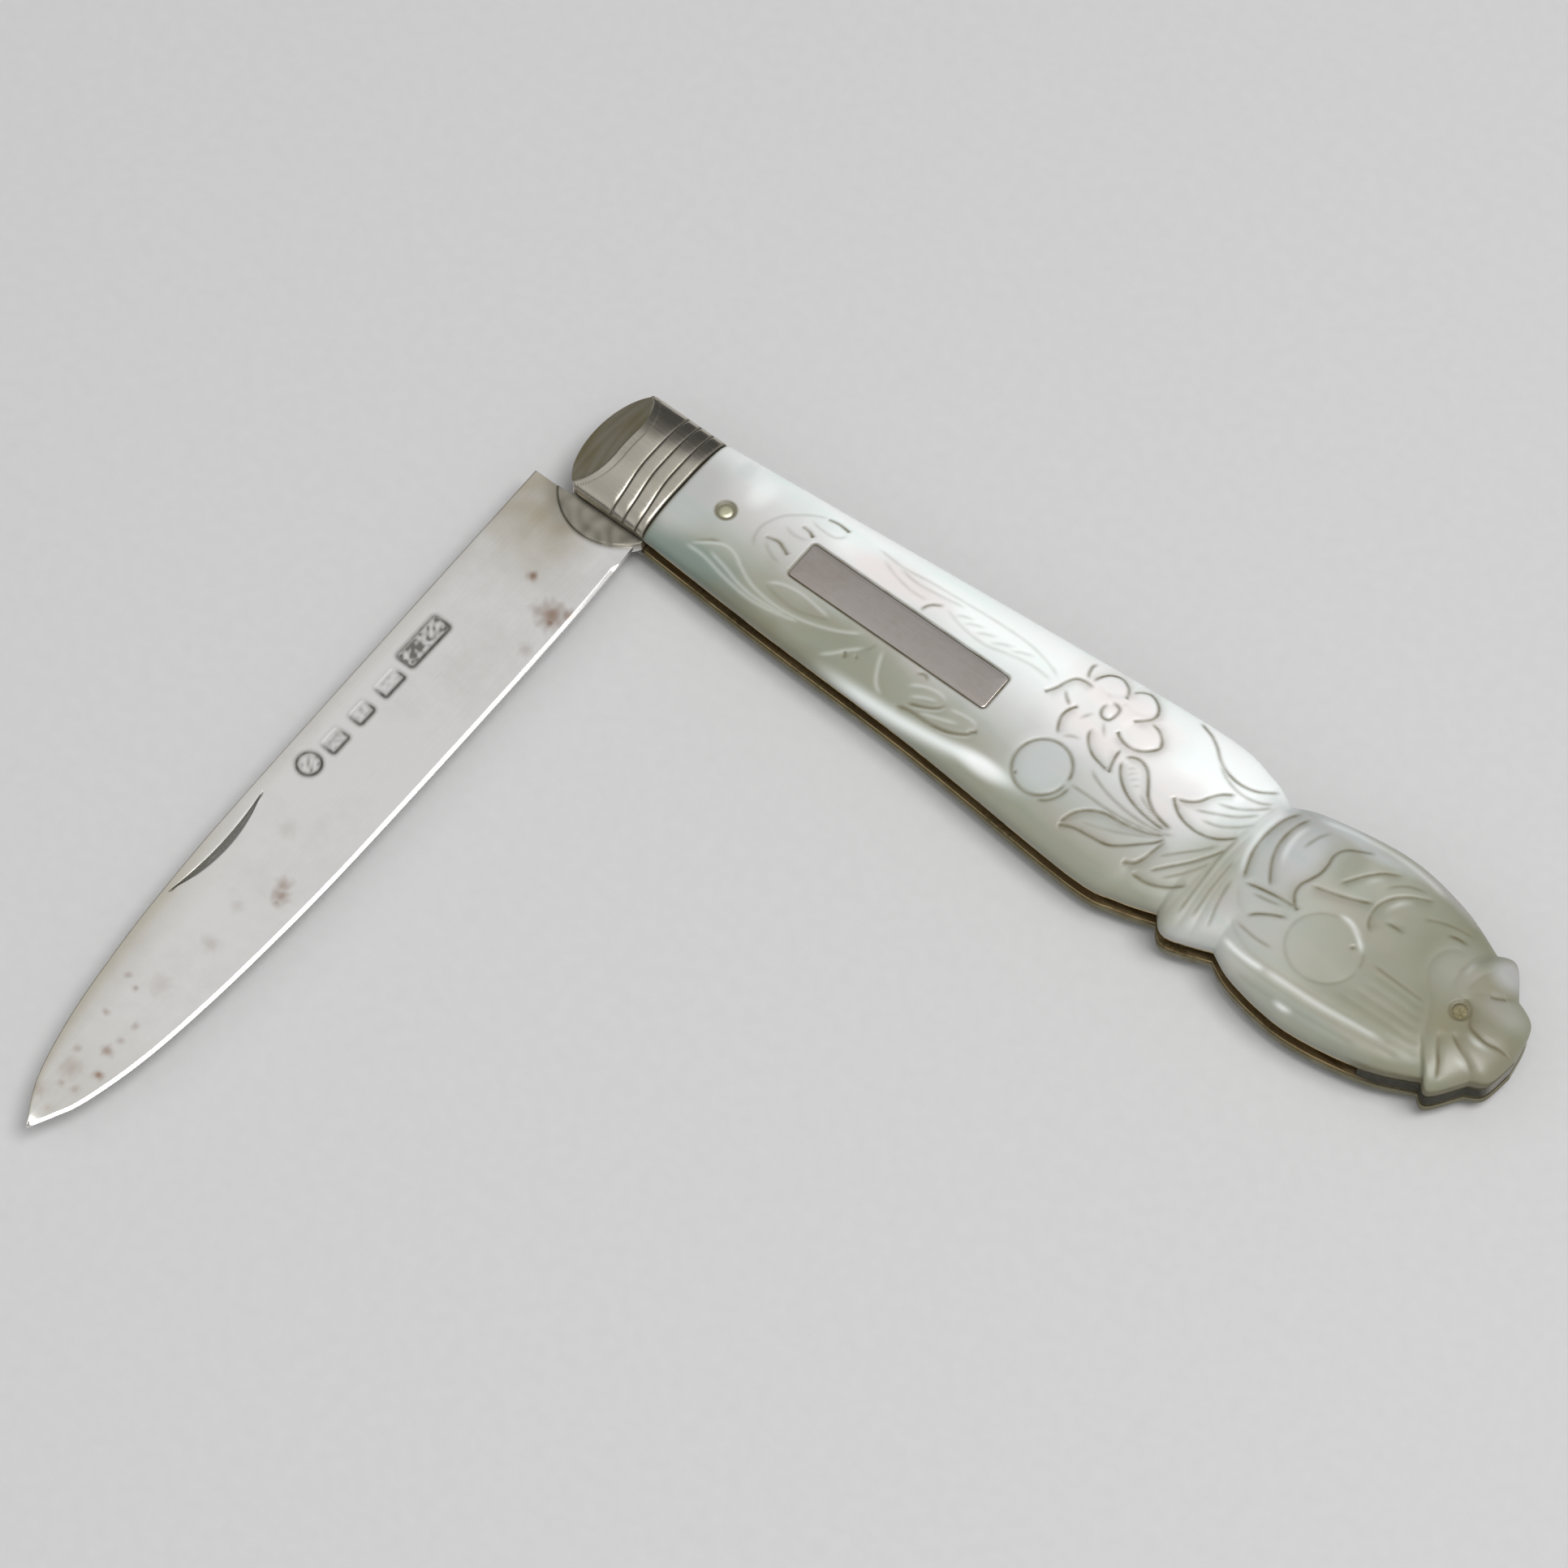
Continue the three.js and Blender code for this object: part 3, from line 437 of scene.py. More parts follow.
TAIL_CUTS = [
    ("shelf", [(62.8, 8.45), (61.7, 7.9), (60.75, 7.25), (60.35, 6.4), (60.42, 5.5), (60.4, 4.6),
               (60.1, 3.7), (59.78, 2.9), (59.85, 2.1), (60.25, 1.5), (60.8, 1.05)]),
    ("dark", [(59.95, 1.9), (60.3, 1.4), (60.85, 1.05)]),
    ("score", [(65.4, 8.2), (64.1, 7.45), (63.2, 6.5), (62.5, 5.5), (61.9, 4.5)]),
    ("fine", [(64.85, 6.2), (65.2, 6.95), (66.2, 7.75), (67.6, 8.2)]),
    ("shelf", [(60.2, 3.25), (61.5, 3.6), (62.8, 4.0), (64.0, 4.5), (65.1, 5.0)]),
    ("bank", [(68.4, 7.95), (66.9, 7.2), (65.85, 6.3), (65.28, 5.3), (65.2, 4.3), (65.5, 3.4),
              (66.1, 2.85)]),
    ("score", [(66.2, 4.15), (67.1, 4.35), (68.1, 4.3)]),
    ("fine", [(68.2, 6.0), (69.2, 6.6), (70.6, 7.1), (72.4, 7.4)]),
    ("score", [(70.3, 6.1), (71.2, 6.45), (72.3, 6.5)]),
    ("flute", [(72.7, 5.95), (71.5, 5.5), (70.85, 4.5), (70.9, 3.3), (71.5, 2.3), (72.3, 1.5),
               (73.0, 0.4), (73.6, -0.9), (74.3, -2.0), (75.4, -3.1)]),
    ("flute", [(73.95, 7.45), (73.25, 6.3), (72.92, 5.0), (72.95, 3.8), (73.25, 2.7)]),
    ("flute", [(75.0, 6.3), (74.4, 5.2), (74.15, 4.2), (74.25, 3.2)]),
    ("fine", [(77.3, 5.3), (76.9, 4.9), (76.3, 4.45)]),
    ("score", [(74.0, 2.35), (74.5, 2.78), (75.1, 2.55), (75.5, 1.9), (75.9, 1.3), (76.7, 1.05),
               (77.6, 1.0), (78.5, 1.25), (79.6, 1.3)]),
    ("score", [(75.0, 0.15), (76.0, -0.4), (77.2, -0.92), (78.3, -1.6)]),
    ("score", [(74.3, -0.2), (75.0, -1.4), (75.9, -2.6), (76.4, -3.6)]),
    ("flute", [(57.0, -2.0), (58.4, -3.1), (60.4, -3.75), (63.6, -3.75), (67.6, -3.55), (71.6, -3.2),
               (74.6, -2.9)]),
    ("flute", [(58.4, -4.3), (60.8, -4.7), (64.0, -4.75), (67.4, -4.5), (70.4, -4.15), (73.6, -3.8)]),
    ("flute", [(59.6, -5.3), (62.6, -5.55), (66.4, -5.3), (70.4, -4.9)]),
    ("fine", [(57.6, -2.3), (59.6, -2.6), (61.4, -2.5)]),
    ("fine", [(67.4, 0.95), (70.0, 0.85), (72.4, 0.8)]),
    ("flute", [(67.6, 0.3), (70.4, 0.3), (73.0, 0.2)]),
    ("flute", [(67.5, -0.65), (70.4, -0.55), (73.2, -0.6)]),
    ("flute", [(67.2, -1.55), (70.4, -1.4), (73.5, -1.4)]),
    ("flute", [(66.4, -2.5), (70.0, -2.3), (74.0, -2.2)]),
    ("dark", [(65.55, 1.3), (65.8, 1.0)]),
    ("dark", [(75.65, 4.1), (76.1, 4.3), (76.7, 4.75)]),
]
# Painted highlights: lighter colour painted where the relief would catch the light.
PAINTED_HIGHLIGHTS = [
    ("glow", [(19.5, -4.4), (24.0, -4.45), (28.0, -4.35), (32.0, -4.0), (35.0, -3.6), (37.5, -3.5),
              (40.5, -3.8)]),
    ("sheen", [(55.75, 7.6), (55.3, 6.2), (55.1, 4.6), (55.2, 3.0), (55.6, 1.6), (56.1, 0.5)]),
    ("sheen", [(57.75, 7.6), (57.35, 6.4), (57.3, 5.2), (57.5, 4.1), (58.0, 3.0)]),
    ("sheen", [(64.6, 7.3), (63.8, 6.5), (63.2, 5.6)]),
    ("sheen", [(67.4, 7.0), (66.5, 6.3), (66.0, 5.4), (65.9, 4.6)]),
    ("sheen", [(73.5, 6.0), (73.3, 5.0), (73.35, 4.1)]),
    ("gleam", [(57.6, -3.75), (59.0, -4.12), (60.4, -4.25), (62.0, -4.2)]),
    ("sheen", [(61.2, -4.2), (64.0, -4.15), (66.5, -4.05), (69.5, -3.7), (72.0, -3.4)]),
    ("gleam", [(63.3, -5.5), (64.2, -5.65), (65.4, -5.6)]),
    ("gleam", [(63.2, 2.6), (64.3, 2.65), (65.2, 2.3), (66.0, 1.7), (66.7, 1.0)]),
    ("sheen", [(57.4, 8.1), (59.4, 8.75), (61.6, 9.15), (64.4, 9.35), (66.8, 9.15), (69.0, 8.7)]),
    ("sheen", [(75.8, 0.8), (77.0, 0.5), (78.4, 0.8)]),
    ("sheen", [(76.1, -1.55), (77.2, -1.35), (78.2, -1.6)]),
]
# The cherry and the fruit are also ringed.
FRUIT_CENTRE = (64.1, -0.2)
FRUIT_RADII = (2.9, 2.75)
ELLIPSE_POINTS = 25
CARVING = [
    *BUD_CUTS,
    *BELL_CUTS,
    *FEATHER_CUTS,
    *SPRAY_CUTS,
    *FLOWER_CUTS,
    *CHERRY_CUTS,
    *LEAF_CUTS,
    *WAIST_CUTS,
    *TAIL_CUTS,
    *PAINTED_HIGHLIGHTS,
]
# Swellings of the relief: the power of their rounding, where the
# ground dips round them, and each one's centre, radii and rise.
SWELL_POWER = 0.7
SWELL_DIP = (1.6, 1.0)
SWELLS = [
    (CHERRY_CENTRE, (1.95, 2.1), 0.08),
    (FRUIT_CENTRE, (2.7, 2.55), 0.06),
    ((40.45, 5.7), (0.45, 0.55), 0.06),
    ((39.3, 7.8), (1.0, 0.8), 0.05),
    ((42.0, 7.9), (1.0, 0.9), 0.05),
    ((43.6, 5.5), (1.2, 0.9), 0.05),
]

# The pearl's ground: across a skewed band it runs from olive to white, painted shade along the slot
# and painted sheen along the back over the pearl's own tone, and past the waist from mist to a deep tone.
PEARL_SKEW = 0.05
PEARL_SKEW_X = 20.0
PEARL_LOW = -5.0
PEARL_SPAN = 12.0
PEARL_ACROSS = [(0.12, "pearl_olive"), (0.62, "pearl_grey"), (0.96, "pearl_white")]
WAIST_X = 55.5
WAIST_FADE = (-2.5, 0.5)
PEARL_PAST_WAIST = [(0.0, "pearl_mist"), (0.3, "pearl_beige"), (0.65, "pearl_deep")]
# How the layers wander: scale and detail of the noise, and the shift in metres.
PEARL_DRIFT = (160.0, 3.0)
PEARL_SWAY = (0.008, 0.0025, 0.0)
# The figure of the layers: how it is stretched and turned, its noise, colours and strength.
PEARL_LAYERS = {"Scale": (90.0, 300.0, 400.0), "Rotation": (0.2, 0.1, 0.3)}
PEARL_FIGURE = (1.0, 5.0, 1.2)
PEARL_SHEEN = [(0.3, (0.86, 0.95, 0.93)), (0.5, (0.98, 0.98, 0.97)), (0.7, (1.0, 0.92, 0.92))]
SHEEN_SHARE = 0.55
# The stain's patches and their least share, roughness of
# clean pearl and what a stain adds, shine and fine fibres.
STAIN_PATCHES = (700.0, 2.0)
STAIN_LEAST = 0.5
PEARL_ROUGH = 0.38
STAIN_ROUGH = 0.3
PEARL_SHINE = {"IOR": 1.56, "Coat Weight": 0.08, "Coat Roughness": 0.16}
PEARL_FIBRES = (9.0, 3.0)
PEARL_BUMP = 0.08
BUMP_DEPTH = 0.00005
# Tints of the pearl: place, radii along and across, strength and colour;
# the broad ones wander, and all fade out between two shares of their radii. A few are painted sheen and
# highlight, marked below.
BROAD_TINT = 4.0
TINT_EDGE = (0.25, 1.1)
PEARL_TINTS = [
    ((4.6, 1.0), (3.6, 5.5), 0.95, "pearl_mist"),
    ((7.0, -4.0), (8.5, 2.4), 0.85, "pearl_teal"),
    # Painted sheen: pale and grey bands across the back near the bolster.
    ((6.6, 5.2), (1.0, 1.6), 0.35, "pearl_shade"),
    ((8.8, 4.6), (1.3, 2.2), 0.45, "pearl_white"),
    ((16.8, 5.0), (2.6, 1.8), 0.5, "pearl_white"),
    ((18.5, -1.8), (9.5, 2.6), 0.85, "pearl_olive"),
    ((25.0, -2.0), (11.5, 2.6), 0.55, "pearl_deep"),
    ((14.5, -4.4), (8.5, 1.3), 0.42, "stain_and_shade"),
    ((41.0, 5.6), (6.5, 4.5), 0.6, "pearl_pink"),
    ((48.5, 3.0), (5.0, 3.0), 0.5, "pearl_pink"),
    ((21.5, 5.0), (6.0, 2.0), 0.75, "pearl_pink"),
    ((39.3, -1.1), (2.7, 2.8), 0.85, "pearl_shade"),
    # Painted highlight on the slot side's dome.
    ((35.8, -3.7), (2.8, 0.9), 0.6, "pearl_white"),
    ((54.0, -0.5), (3.2, 5.5), 0.95, "pearl_beige"),
    ((66.0, -5.8), (8.5, 1.5), 0.35, "pearl_teal"),
    ((69.5, -2.6), (5.5, 1.5), 0.5, "pearl_deep"),
    ((58.3, 5.6), (2.5, 5.2), 0.9, "pearl_lilac"),
    ((61.9, 6.3), (1.5, 2.4), 0.5, "pearl_deep"),
    ((60.5, 8.9), (5.5, 1.1), 0.8, "pearl_shade"),
    ((58.5, 5.2), (1.6, 3.2), 0.5, "pearl_shade"),
    ((75.8, 6.6), (1.9, 1.7), 0.9, "pearl_lilac"),
    ((77.2, 3.8), (2.4, 1.6), 0.4, "pearl_mist"),
    ((68.0, 9.3), (6.0, 0.9), 0.6, "pearl_lilac"),
    ((72.6, 4.6), (2.6, 3.2), 0.25, "pearl_mist"),
    ((75.2, 0.4), (2.6, 1.9), 0.65, "pearl_amber"),
    ((77.2, 0.2), (3.4, 3.4), 0.8, "pearl_deep"),
    ((77.2, 1.0), (3.2, 3.4), 0.42, "stain_and_shade"),
]

# Blank seals punched on the blade: place, half sizes, corner radius,
# how dirty the floor is and how even the rim, in the blade's frame.
SEALS = [
    ((33.45, -3.95), (1.0, 1.0), 1.0, 0.75, 1.0),
    ((30.8, -3.7), (0.95, 0.72), 0.25, 0.4, 0.3),
    ((27.8, -3.68), (0.9, 0.7), 0.3, 0.4, 0.3),
    ((24.6, -3.7), (1.15, 0.7), 0.2, 0.35, 0.15),
    ((20.35, -3.95), (2.3, 0.88), 0.35, 0.85, 0.9),
]
# A seal's wall and its floor's dirt, as distances from the outline; its
# rim (inset and width), the rim's patches, and where across the seal it
# wears off; the grime's strength and the sizes of its crossed patches.
SEAL_WALL = (0.06, -0.2)
SEAL_FLOOR = (0.05, -0.25)
SEAL_RIM = (0.06, 0.2)
SEAL_RIM_PATCHES = (0.85, 0.15, 0.3)
SEAL_WEAR = (-0.9, 0.4)
GRIME = 2.2
GRIME_SIZES = (0.23, 0.31)
# Tarnish spots on the blade: factors on size and strength, the most that one gives,
# patches of the edges, and each one's place, radius and strength, in the blade's frame.
SPOT_SIZE = 1.2
SPOT_STRENGTH = 1.45
SPOT_MOST = 0.95
SPOT_EDGE = (0.75, 0.5, 0.3)
SPOTS = [
    ((10.9, -1.15), 0.32, 0.75),
    ((12.6, 2.1), 0.85, 0.6),
    ((13.2, 2.4), 0.4, 0.65),
    ((11.9, 3.0), 0.5, 0.5),
    ((12.9, 1.1), 0.5, 0.35),
    ((16.1, 2.4), 0.45, 0.22),
    ((42.2, 1.1), 0.5, 0.42),
    ((42.9, 1.5), 0.55, 0.5),
    ((43.5, 1.6), 0.3, 0.4),
    ((38.5, -1.7), 0.6, 0.12),
    ((45.5, -0.5), 0.4, 0.14),
    ((49.0, 0.0), 0.5, 0.2),
    ((53.7, -0.7), 0.8, 0.16),
    ((54.6, -3.0), 0.25, 0.35),
    ((55.0, -1.9), 0.2, 0.45),
    ((57.3, 0.1), 0.25, 0.35),
    ((57.8, -2.3), 0.22, 0.4),
    ((58.8, 0.0), 0.25, 0.3),
    ((60.0, -0.2), 0.35, 0.5),
    ((61.2, -2.0), 0.25, 0.3),
    ((61.8, 0.55), 0.28, 0.65),
    ((62.6, -1.4), 0.6, 0.28),
    ((63.7, 0.0), 0.25, 0.3),
    ((63.9, -1.1), 0.22, 0.35),
    ((65.3, -2.0), 0.5, 0.25),
    ((66.0, -0.6), 0.25, 0.3),
]

# Metals: colour, tarnish, roughness, polishing lines along x, y and z, and the clouds' scale and amount.
METALS = {
    "Bolster silver": ("bolster", "bolster_dull", 0.2, (300.0, 5000.0, 5000.0), (420.0, 0.12)),
    "Blade silver": ("silver", "tarnish", 0.2, (5000.0, 260.0, 5000.0), (110.0, 0.1)),
    "Plate silver": ("plate", "tarnish", 0.24, (120.0, 6000.0, 6000.0), (260.0, 0.2)),
    "Rivet silver": ("rivet", "tarnish", 0.5, (900.0, 900.0, 900.0), (900.0, 0.3)),
    "Old rivet": ("old_rivet", "old_rivet_dull", 0.65, (900.0, 900.0, 900.0), (900.0, 0.6)),
    "Liner brass": ("gilt", "gilt_dull", 0.34, (200.0, 3000.0, 3000.0), (350.0, 0.8)),
    "Spring steel": ("steel", "steel_dull", 0.3, (200.0, 3000.0, 3000.0), (300.0, 0.5)),
}
# Clouds of tarnish: detail of both noises, how much finer
# the second is, its least share, and where the mask is cut.
CLOUD_DETAIL = (5.0, 3.0)
CLOUD_FINER = 7.0
CLOUD_LEAST = 0.5
CLOUD_CUT = (0.42, 0.72)
# Polishing lines: their noise, and the shares of a metal's roughness at their low and high ends.
BRUSH_NOISE = (1.0, 4.0)
BRUSH_RANGE = (0.3, 0.7)
BRUSH_ROUGH = (0.8, 1.25)
BRUSH_BUMP = 0.06
# What tarnish, and soil with painted shade, add to the roughness.
TARNISH_ROUGH = 0.25
SOIL_ROUGH = 0.45
# Painted shade on the frame, on the liners under the bolster's end and at the tail, and on the spring towards
# -y:
# axis, the place where the metal is still unshaded and the place where the shade is full.
GATE_SHADE = 0.85
LINER_SHADE = [(0, JUNCTION_X + 0.2, JUNCTION_X), (0, *TAIL_SHADE)]
SPRING_SHADE = [(1, -0.5, -1.5)]

# The room's light: the brightest direction, its level against the share of that
# direction, and a pale wall, higher on the right, with its level between two heights.
SKY_AXIS = (0.0, -0.34, 0.94)
SKY_LEVELS = [(0.0, 0.08), (0.4, 0.1), (0.55, 0.17), (0.66, 0.64), (0.8, 0.66), (0.92, 0.52), (1.0, 0.5)]
WALL_AXIS = (-0.8, 0.0, 1.0)
SKY_WALL = (0.1, 0.3, 0.38)
# Lamps: name, place, size and power; lamps, camera and floor are in metres.
LAMPS = [
    ("lamp_above", (0.26, 0.04, 0.75), 0.42, 3.8),
    ("lamp_near", (0.077, -0.208, 0.74), 0.3, 0.5),
    ("lamp_side", (-0.72, 0.3, 0.45), 0.6, 0.2),
]
LAMP_TARGET = (0.0, 0.0, 0.0)
CAMERA_PLACE = (0.09435, -0.1496, 0.34158)
CAMERA_TARGET = (-0.01276, -0.01436, 0.003)
CAMERA_LENS = 118.25
CAMERA_SENSOR = 36.0
CAMERA_CLIP = 0.01
# The floor: half its width, its height, its grain with shares of the colour, and its roughness.
FLOOR_REACH = 1.5
FLOOR_Z = -0.00003
FLOOR_GRAIN = (900.0, 4.0)
FLOOR_LEVELS = [(0.3, 0.97), (0.7, 1.0)]
FLOOR_ROUGH = 0.8


def curve_through(points, steps):
    """Smooth line through points: cubics whose slope at a point is half the step between its neighbours."""
    p = np.asarray(points, float)
    last = len(p) - 1
    t = np.linspace(0, last, last * steps + 1)
    i = np.minimum(t.astype(int), last - 1)
    w = (t - i)[:, None]
    a, b = p[i], p[i + 1]
    slope_a = (b - p[np.maximum(i - 1, 0)]) / 2
    slope_b = (p[np.minimum(i + 2, last)] - a) / 2
    cubic = 2 * a - 2 * b + slope_a + slope_b
    square = 3 * b - 3 * a - 2 * slope_a - slope_b
    return cubic * w**3 + square * w**2 + slope_a * w + a


def smooth(low, high, value):
    """0 at low and before it, 1 at high and past it, and an S curve between; low may be the greater."""
    t = np.clip((value - low) / (high - low), 0, 1)
    return t * t * (3 - 2 * t)


def bell(ratio):
    """1 at 0, falling off with the ratio's square."""
    return np.exp(-(ratio**2))


def blotches(x, y, size):
    """Uneven patches from 0 to 1: two waves across each other, each bent by the other."""
    u, v = x / size, y / size
    along = np.sin(u + 1.7 * np.sin(0.9 * v + 0.6))
    across = np.sin(1.1 * v + 1.9 * np.sin(0.7 * u + 1.3))
    return 0.5 + 0.5 * along * across


def patchy(x, y, least, more, size):
    """A least value with more where blotches of a size lie."""
    return least + more * blotches(x, y, size)


def side_line(lobes, side):
    """One side of the handle's outline as a fine line; side is 1 for the back and -1 for the slot side."""
    parts = [curve_through(lobe, OUTLINE_STEPS) for lobe in lobes]
    line = np.concatenate([parts[0], *[part[1:] for part in parts[1:]]])
    return np.stack([line[:, 0], CENTRE_Y + side * line[:, 1]], 1)


BACK_LINE = side_line(BACK_LOBES, 1)
SLOT_LINE = side_line(SLOT_LOBES, -1)


def strip_columns(low, high, count):
    """Places across each row from low to high: a few close to both edges, and the rest evenly between."""
    width = high - low
    fit = np.minimum(1, width / EDGE_FULL)[:, None]
    near = EDGE_OFFSETS * fit
    start = EDGE_START * fit
    middle = start + (width[:, None] - 2 * start) * np.linspace(0, 1, count)
    return np.concatenate([low[:, None] + near, low[:, None] + middle, high[:, None] - near[:, ::-1]], 1)


def domed(share):
    """Height above the liner at a share of the rim's width: a quarter ellipse from wall to crown."""
    return EDGE_WALL + (THICK - EDGE_WALL) * np.sqrt(1 - (1 - share) ** 2)


def scale_dome(x, y, low, high):
    """Height of a plain scale: domed from its sides, and past the crest from its round end."""
    inset = np.minimum(y - low, high - y)
    slot_end, back_end = (line[line[:, 0] >= CREST_X] for line in (SLOT_LINE, BACK_LINE))
    end = np.concatenate([slot_end, back_end[::-1]])
    end_x, end_y = end[:, 0] - CREST_X, end[:, 1] - CENTRE_Y
    angle = np.arctan2(y - CENTRE_Y, x - CREST_X)
    reach = np.interp(angle, np.arctan2(end_y, end_x), np.hypot(end_x, end_y))
    round_end = reach - np.hypot(x - CREST_X, y - CENTRE_Y)
    return domed(np.clip(np.where(x > CREST_X, round_end, inset) / DOME_WIDTH, 0, 1))


def box_distance(x, y, centre, half, corner):
    """Signed distance to a rounded box, negative inside."""
    dx = np.abs(x - centre[0]) - (half[0] - corner)
    dy = np.abs(y - centre[1]) - (half[1] - corner)
    return np.hypot(np.maximum(dx, 0), np.maximum(dy, 0)) + np.minimum(np.maximum(dx, dy), 0) - corner


def to_line(points, line):
    """Distance of each point to a line of segments, its side (1 left, -1 right) and share of the length."""
    a, step = line[:-1], np.diff(line, axis=0)
    length = np.hypot(*step.T)
    from_a = points[:, None] - a
    t = np.clip((from_a * step).sum(2) / np.maximum(length**2, TINY), 0, 1)
    gap = from_a - t[..., None] * step
    squared = (gap**2).sum(2)
    best = squared.argmin(1)
    rows = np.arange(len(points))
    cross = step[best, 0] * gap[rows, best, 1] - step[best, 1] * gap[rows, best, 0]
    travelled = np.concatenate([[0], np.cumsum(length)])
    share = (travelled[best] + t[rows, best] * length[best]) / travelled[-1]
    return np.sqrt(squared[rows, best]), np.where(cross >= 0, 1, -1), share


def ellipse_line(centre, radii):
    """A closed ellipse as points for a cut."""
    turn = np.linspace(0, 2 * math.pi, ELLIPSE_POINTS)
    return np.stack([centre[0] + radii[0] * np.cos(turn), centre[1] + radii[1] * np.sin(turn)], 1)


def carve(x, y):
    """Depth, stain with painted shade, and painted highlight of the carving: at each point the most that any
    stroke gives.

    A stroke's groove falls off on each side over that side's width, and fades at both ends.
    """
    points = np.stack([x.ravel(), y.ravel()], 1)
    depth, stain_and_shade, painted_highlight = np.zeros((3, len(points)))
    rings = [
        ("cut", ellipse_line(CHERRY_CENTRE, CHERRY_RADII)),
        ("hair", ellipse_line(FRUIT_CENTRE, FRUIT_RADII)),
    ]
    for tool, path in [*CARVING, *rings]:
        deep, steep, gentle, side, dark, bright, start, finish, fade = TOOLS[tool]
        line = curve_through(path, STROKE_STEPS)
        reach = CUT_REACH * max(steep, gentle)
        near = np.all((points > line.min(0) - reach) & (points < line.max(0) + reach), 1)
        distance, hand, share = to_line(points[near], line)
        length = np.hypot(*np.diff(line, axis=0).T).sum()
        ends = smooth(0, fade, share * length) * smooth(0, fade, (1 - share) * length)
        weight = (start + (finish - start) * share) * ends
        ratio = distance / np.where(hand == side, gentle, steep)
        groove = np.exp(-(ratio**GROOVE_POWER))
        # The stained line, and painted shade that fades over each side's width.
        line_stain_and_shade = np.maximum(bell(distance / STAIN_WIDTH), SOFT_PAINTED_SHADE * bell(ratio))
        depth[near] = np.maximum(depth[near], deep * weight * groove)
        stain_and_shade[near] = np.maximum(stain_and_shade[near], dark * weight * line_stain_and_shade)
        painted_highlight[near] = np.maximum(painted_highlight[near], bright * weight * bell(ratio))
    return depth.reshape(x.shape), stain_and_shade.reshape(x.shape), painted_highlight.reshape(x.shape)


def swell(x, y):
    """Fruit and petals: the ground dips round each, and the form swells back to the crown in its middle."""
    change = np.zeros_like(x)
    for (cx, cy), (rx, ry), high in SWELLS:
        squared = ((x - cx) / rx) ** 2 + ((y - cy) / ry) ** 2
        form = np.clip(1 - squared, 0, 1) ** SWELL_POWER
        change += high * (form - smooth(*SWELL_DIP, np.sqrt(squared)))
    return change


def grid_faces(rows, columns, start=0):
    """Quads of a grid of points, row by row; they face up where rows run along x and columns along y."""
    i, j = np.meshgrid(np.arange(rows - 1), np.arange(columns - 1), indexing="ij")
    a = start + i * columns + j
    return np.stack([a, a + columns, a + columns + 1, a + 1], -1).reshape(-1, 4)


def closed_slab(top, bottom):
    """Points, quads and end caps of a body between two grids that share their rows; it faces out."""
    rows, columns = top.shape[:2]
    under = bottom.shape[1]
    base = rows * columns
    i = np.arange(rows - 1)
    low_top, low_bottom = i * columns, base + i * under
    high_top, high_bottom = low_top + columns - 1, low_bottom + under - 1
    quads = np.concatenate([
        grid_faces(rows, columns),
        grid_faces(rows, under, base)[:, ::-1],
        np.stack([low_bottom, low_bottom + under, low_top + columns, low_top], 1),
        np.stack([high_top, high_top + columns, high_bottom + under, high_bottom], 1),
    ])
    first = np.concatenate([np.arange(columns), base + np.arange(under)[::-1]])
    last_top = (rows - 1) * columns + np.arange(columns)
    last_bottom = base + (rows - 1) * under + np.arange(under)
    last = np.concatenate([last_top[::-1], last_bottom])
    return np.concatenate([top.reshape(-1, 3), bottom.reshape(-1, 3)]), quads, [first, last]


def face_shell(front, top, under):
    """A scale or bolster: its top (x, y and height) and its base (x and y); the back one lies upside down."""
    x, y, z = top
    base, up = (FRONT_LOW, 1) if front else (BACK_HIGH, -1)
    flat = np.full(under[0].shape, base)
    return closed_slab(np.stack([x, y, base + up * z], -1), np.stack([*under, flat], -1))


def wrapped_faces(sides, count, closed):
    """Quads of profiles that stand side by side in a circle; a closed profile ends where it starts."""
    i, j = np.meshgrid(np.arange(sides), np.arange(count if closed else count - 1), indexing="ij")
    here, ahead = i * count, (i + 1) % sides * count
    after = (j + 1) % count
    return np.stack([here + j, ahead + j, ahead + after, here + after], -1).reshape(-1, 4)


def capped(profiles):
    """Points, quads and end caps of a body from profiles, low to high, that stand in a circle."""
    sides, count = profiles.shape[:2]
    starts = np.arange(sides) * count
    return profiles.reshape(-1, 3), wrapped_faces(sides, count, False), [starts[::-1], starts + count - 1]


def turned(profile, centre):
    """A profile of (radius, z) points carried round an upright axis, closed at both ends."""
    radius, z = np.asarray(profile, float).T
    radius = np.maximum(radius, PIN_TIP)
    turn = np.linspace(0, 2 * math.pi, PIN_SIDES, endpoint=False)[:, None]
    x = centre[0] + radius * np.cos(turn)
    y = centre[1] + radius * np.sin(turn)
    return capped(np.stack([x, y, np.broadcast_to(z, x.shape)], -1))


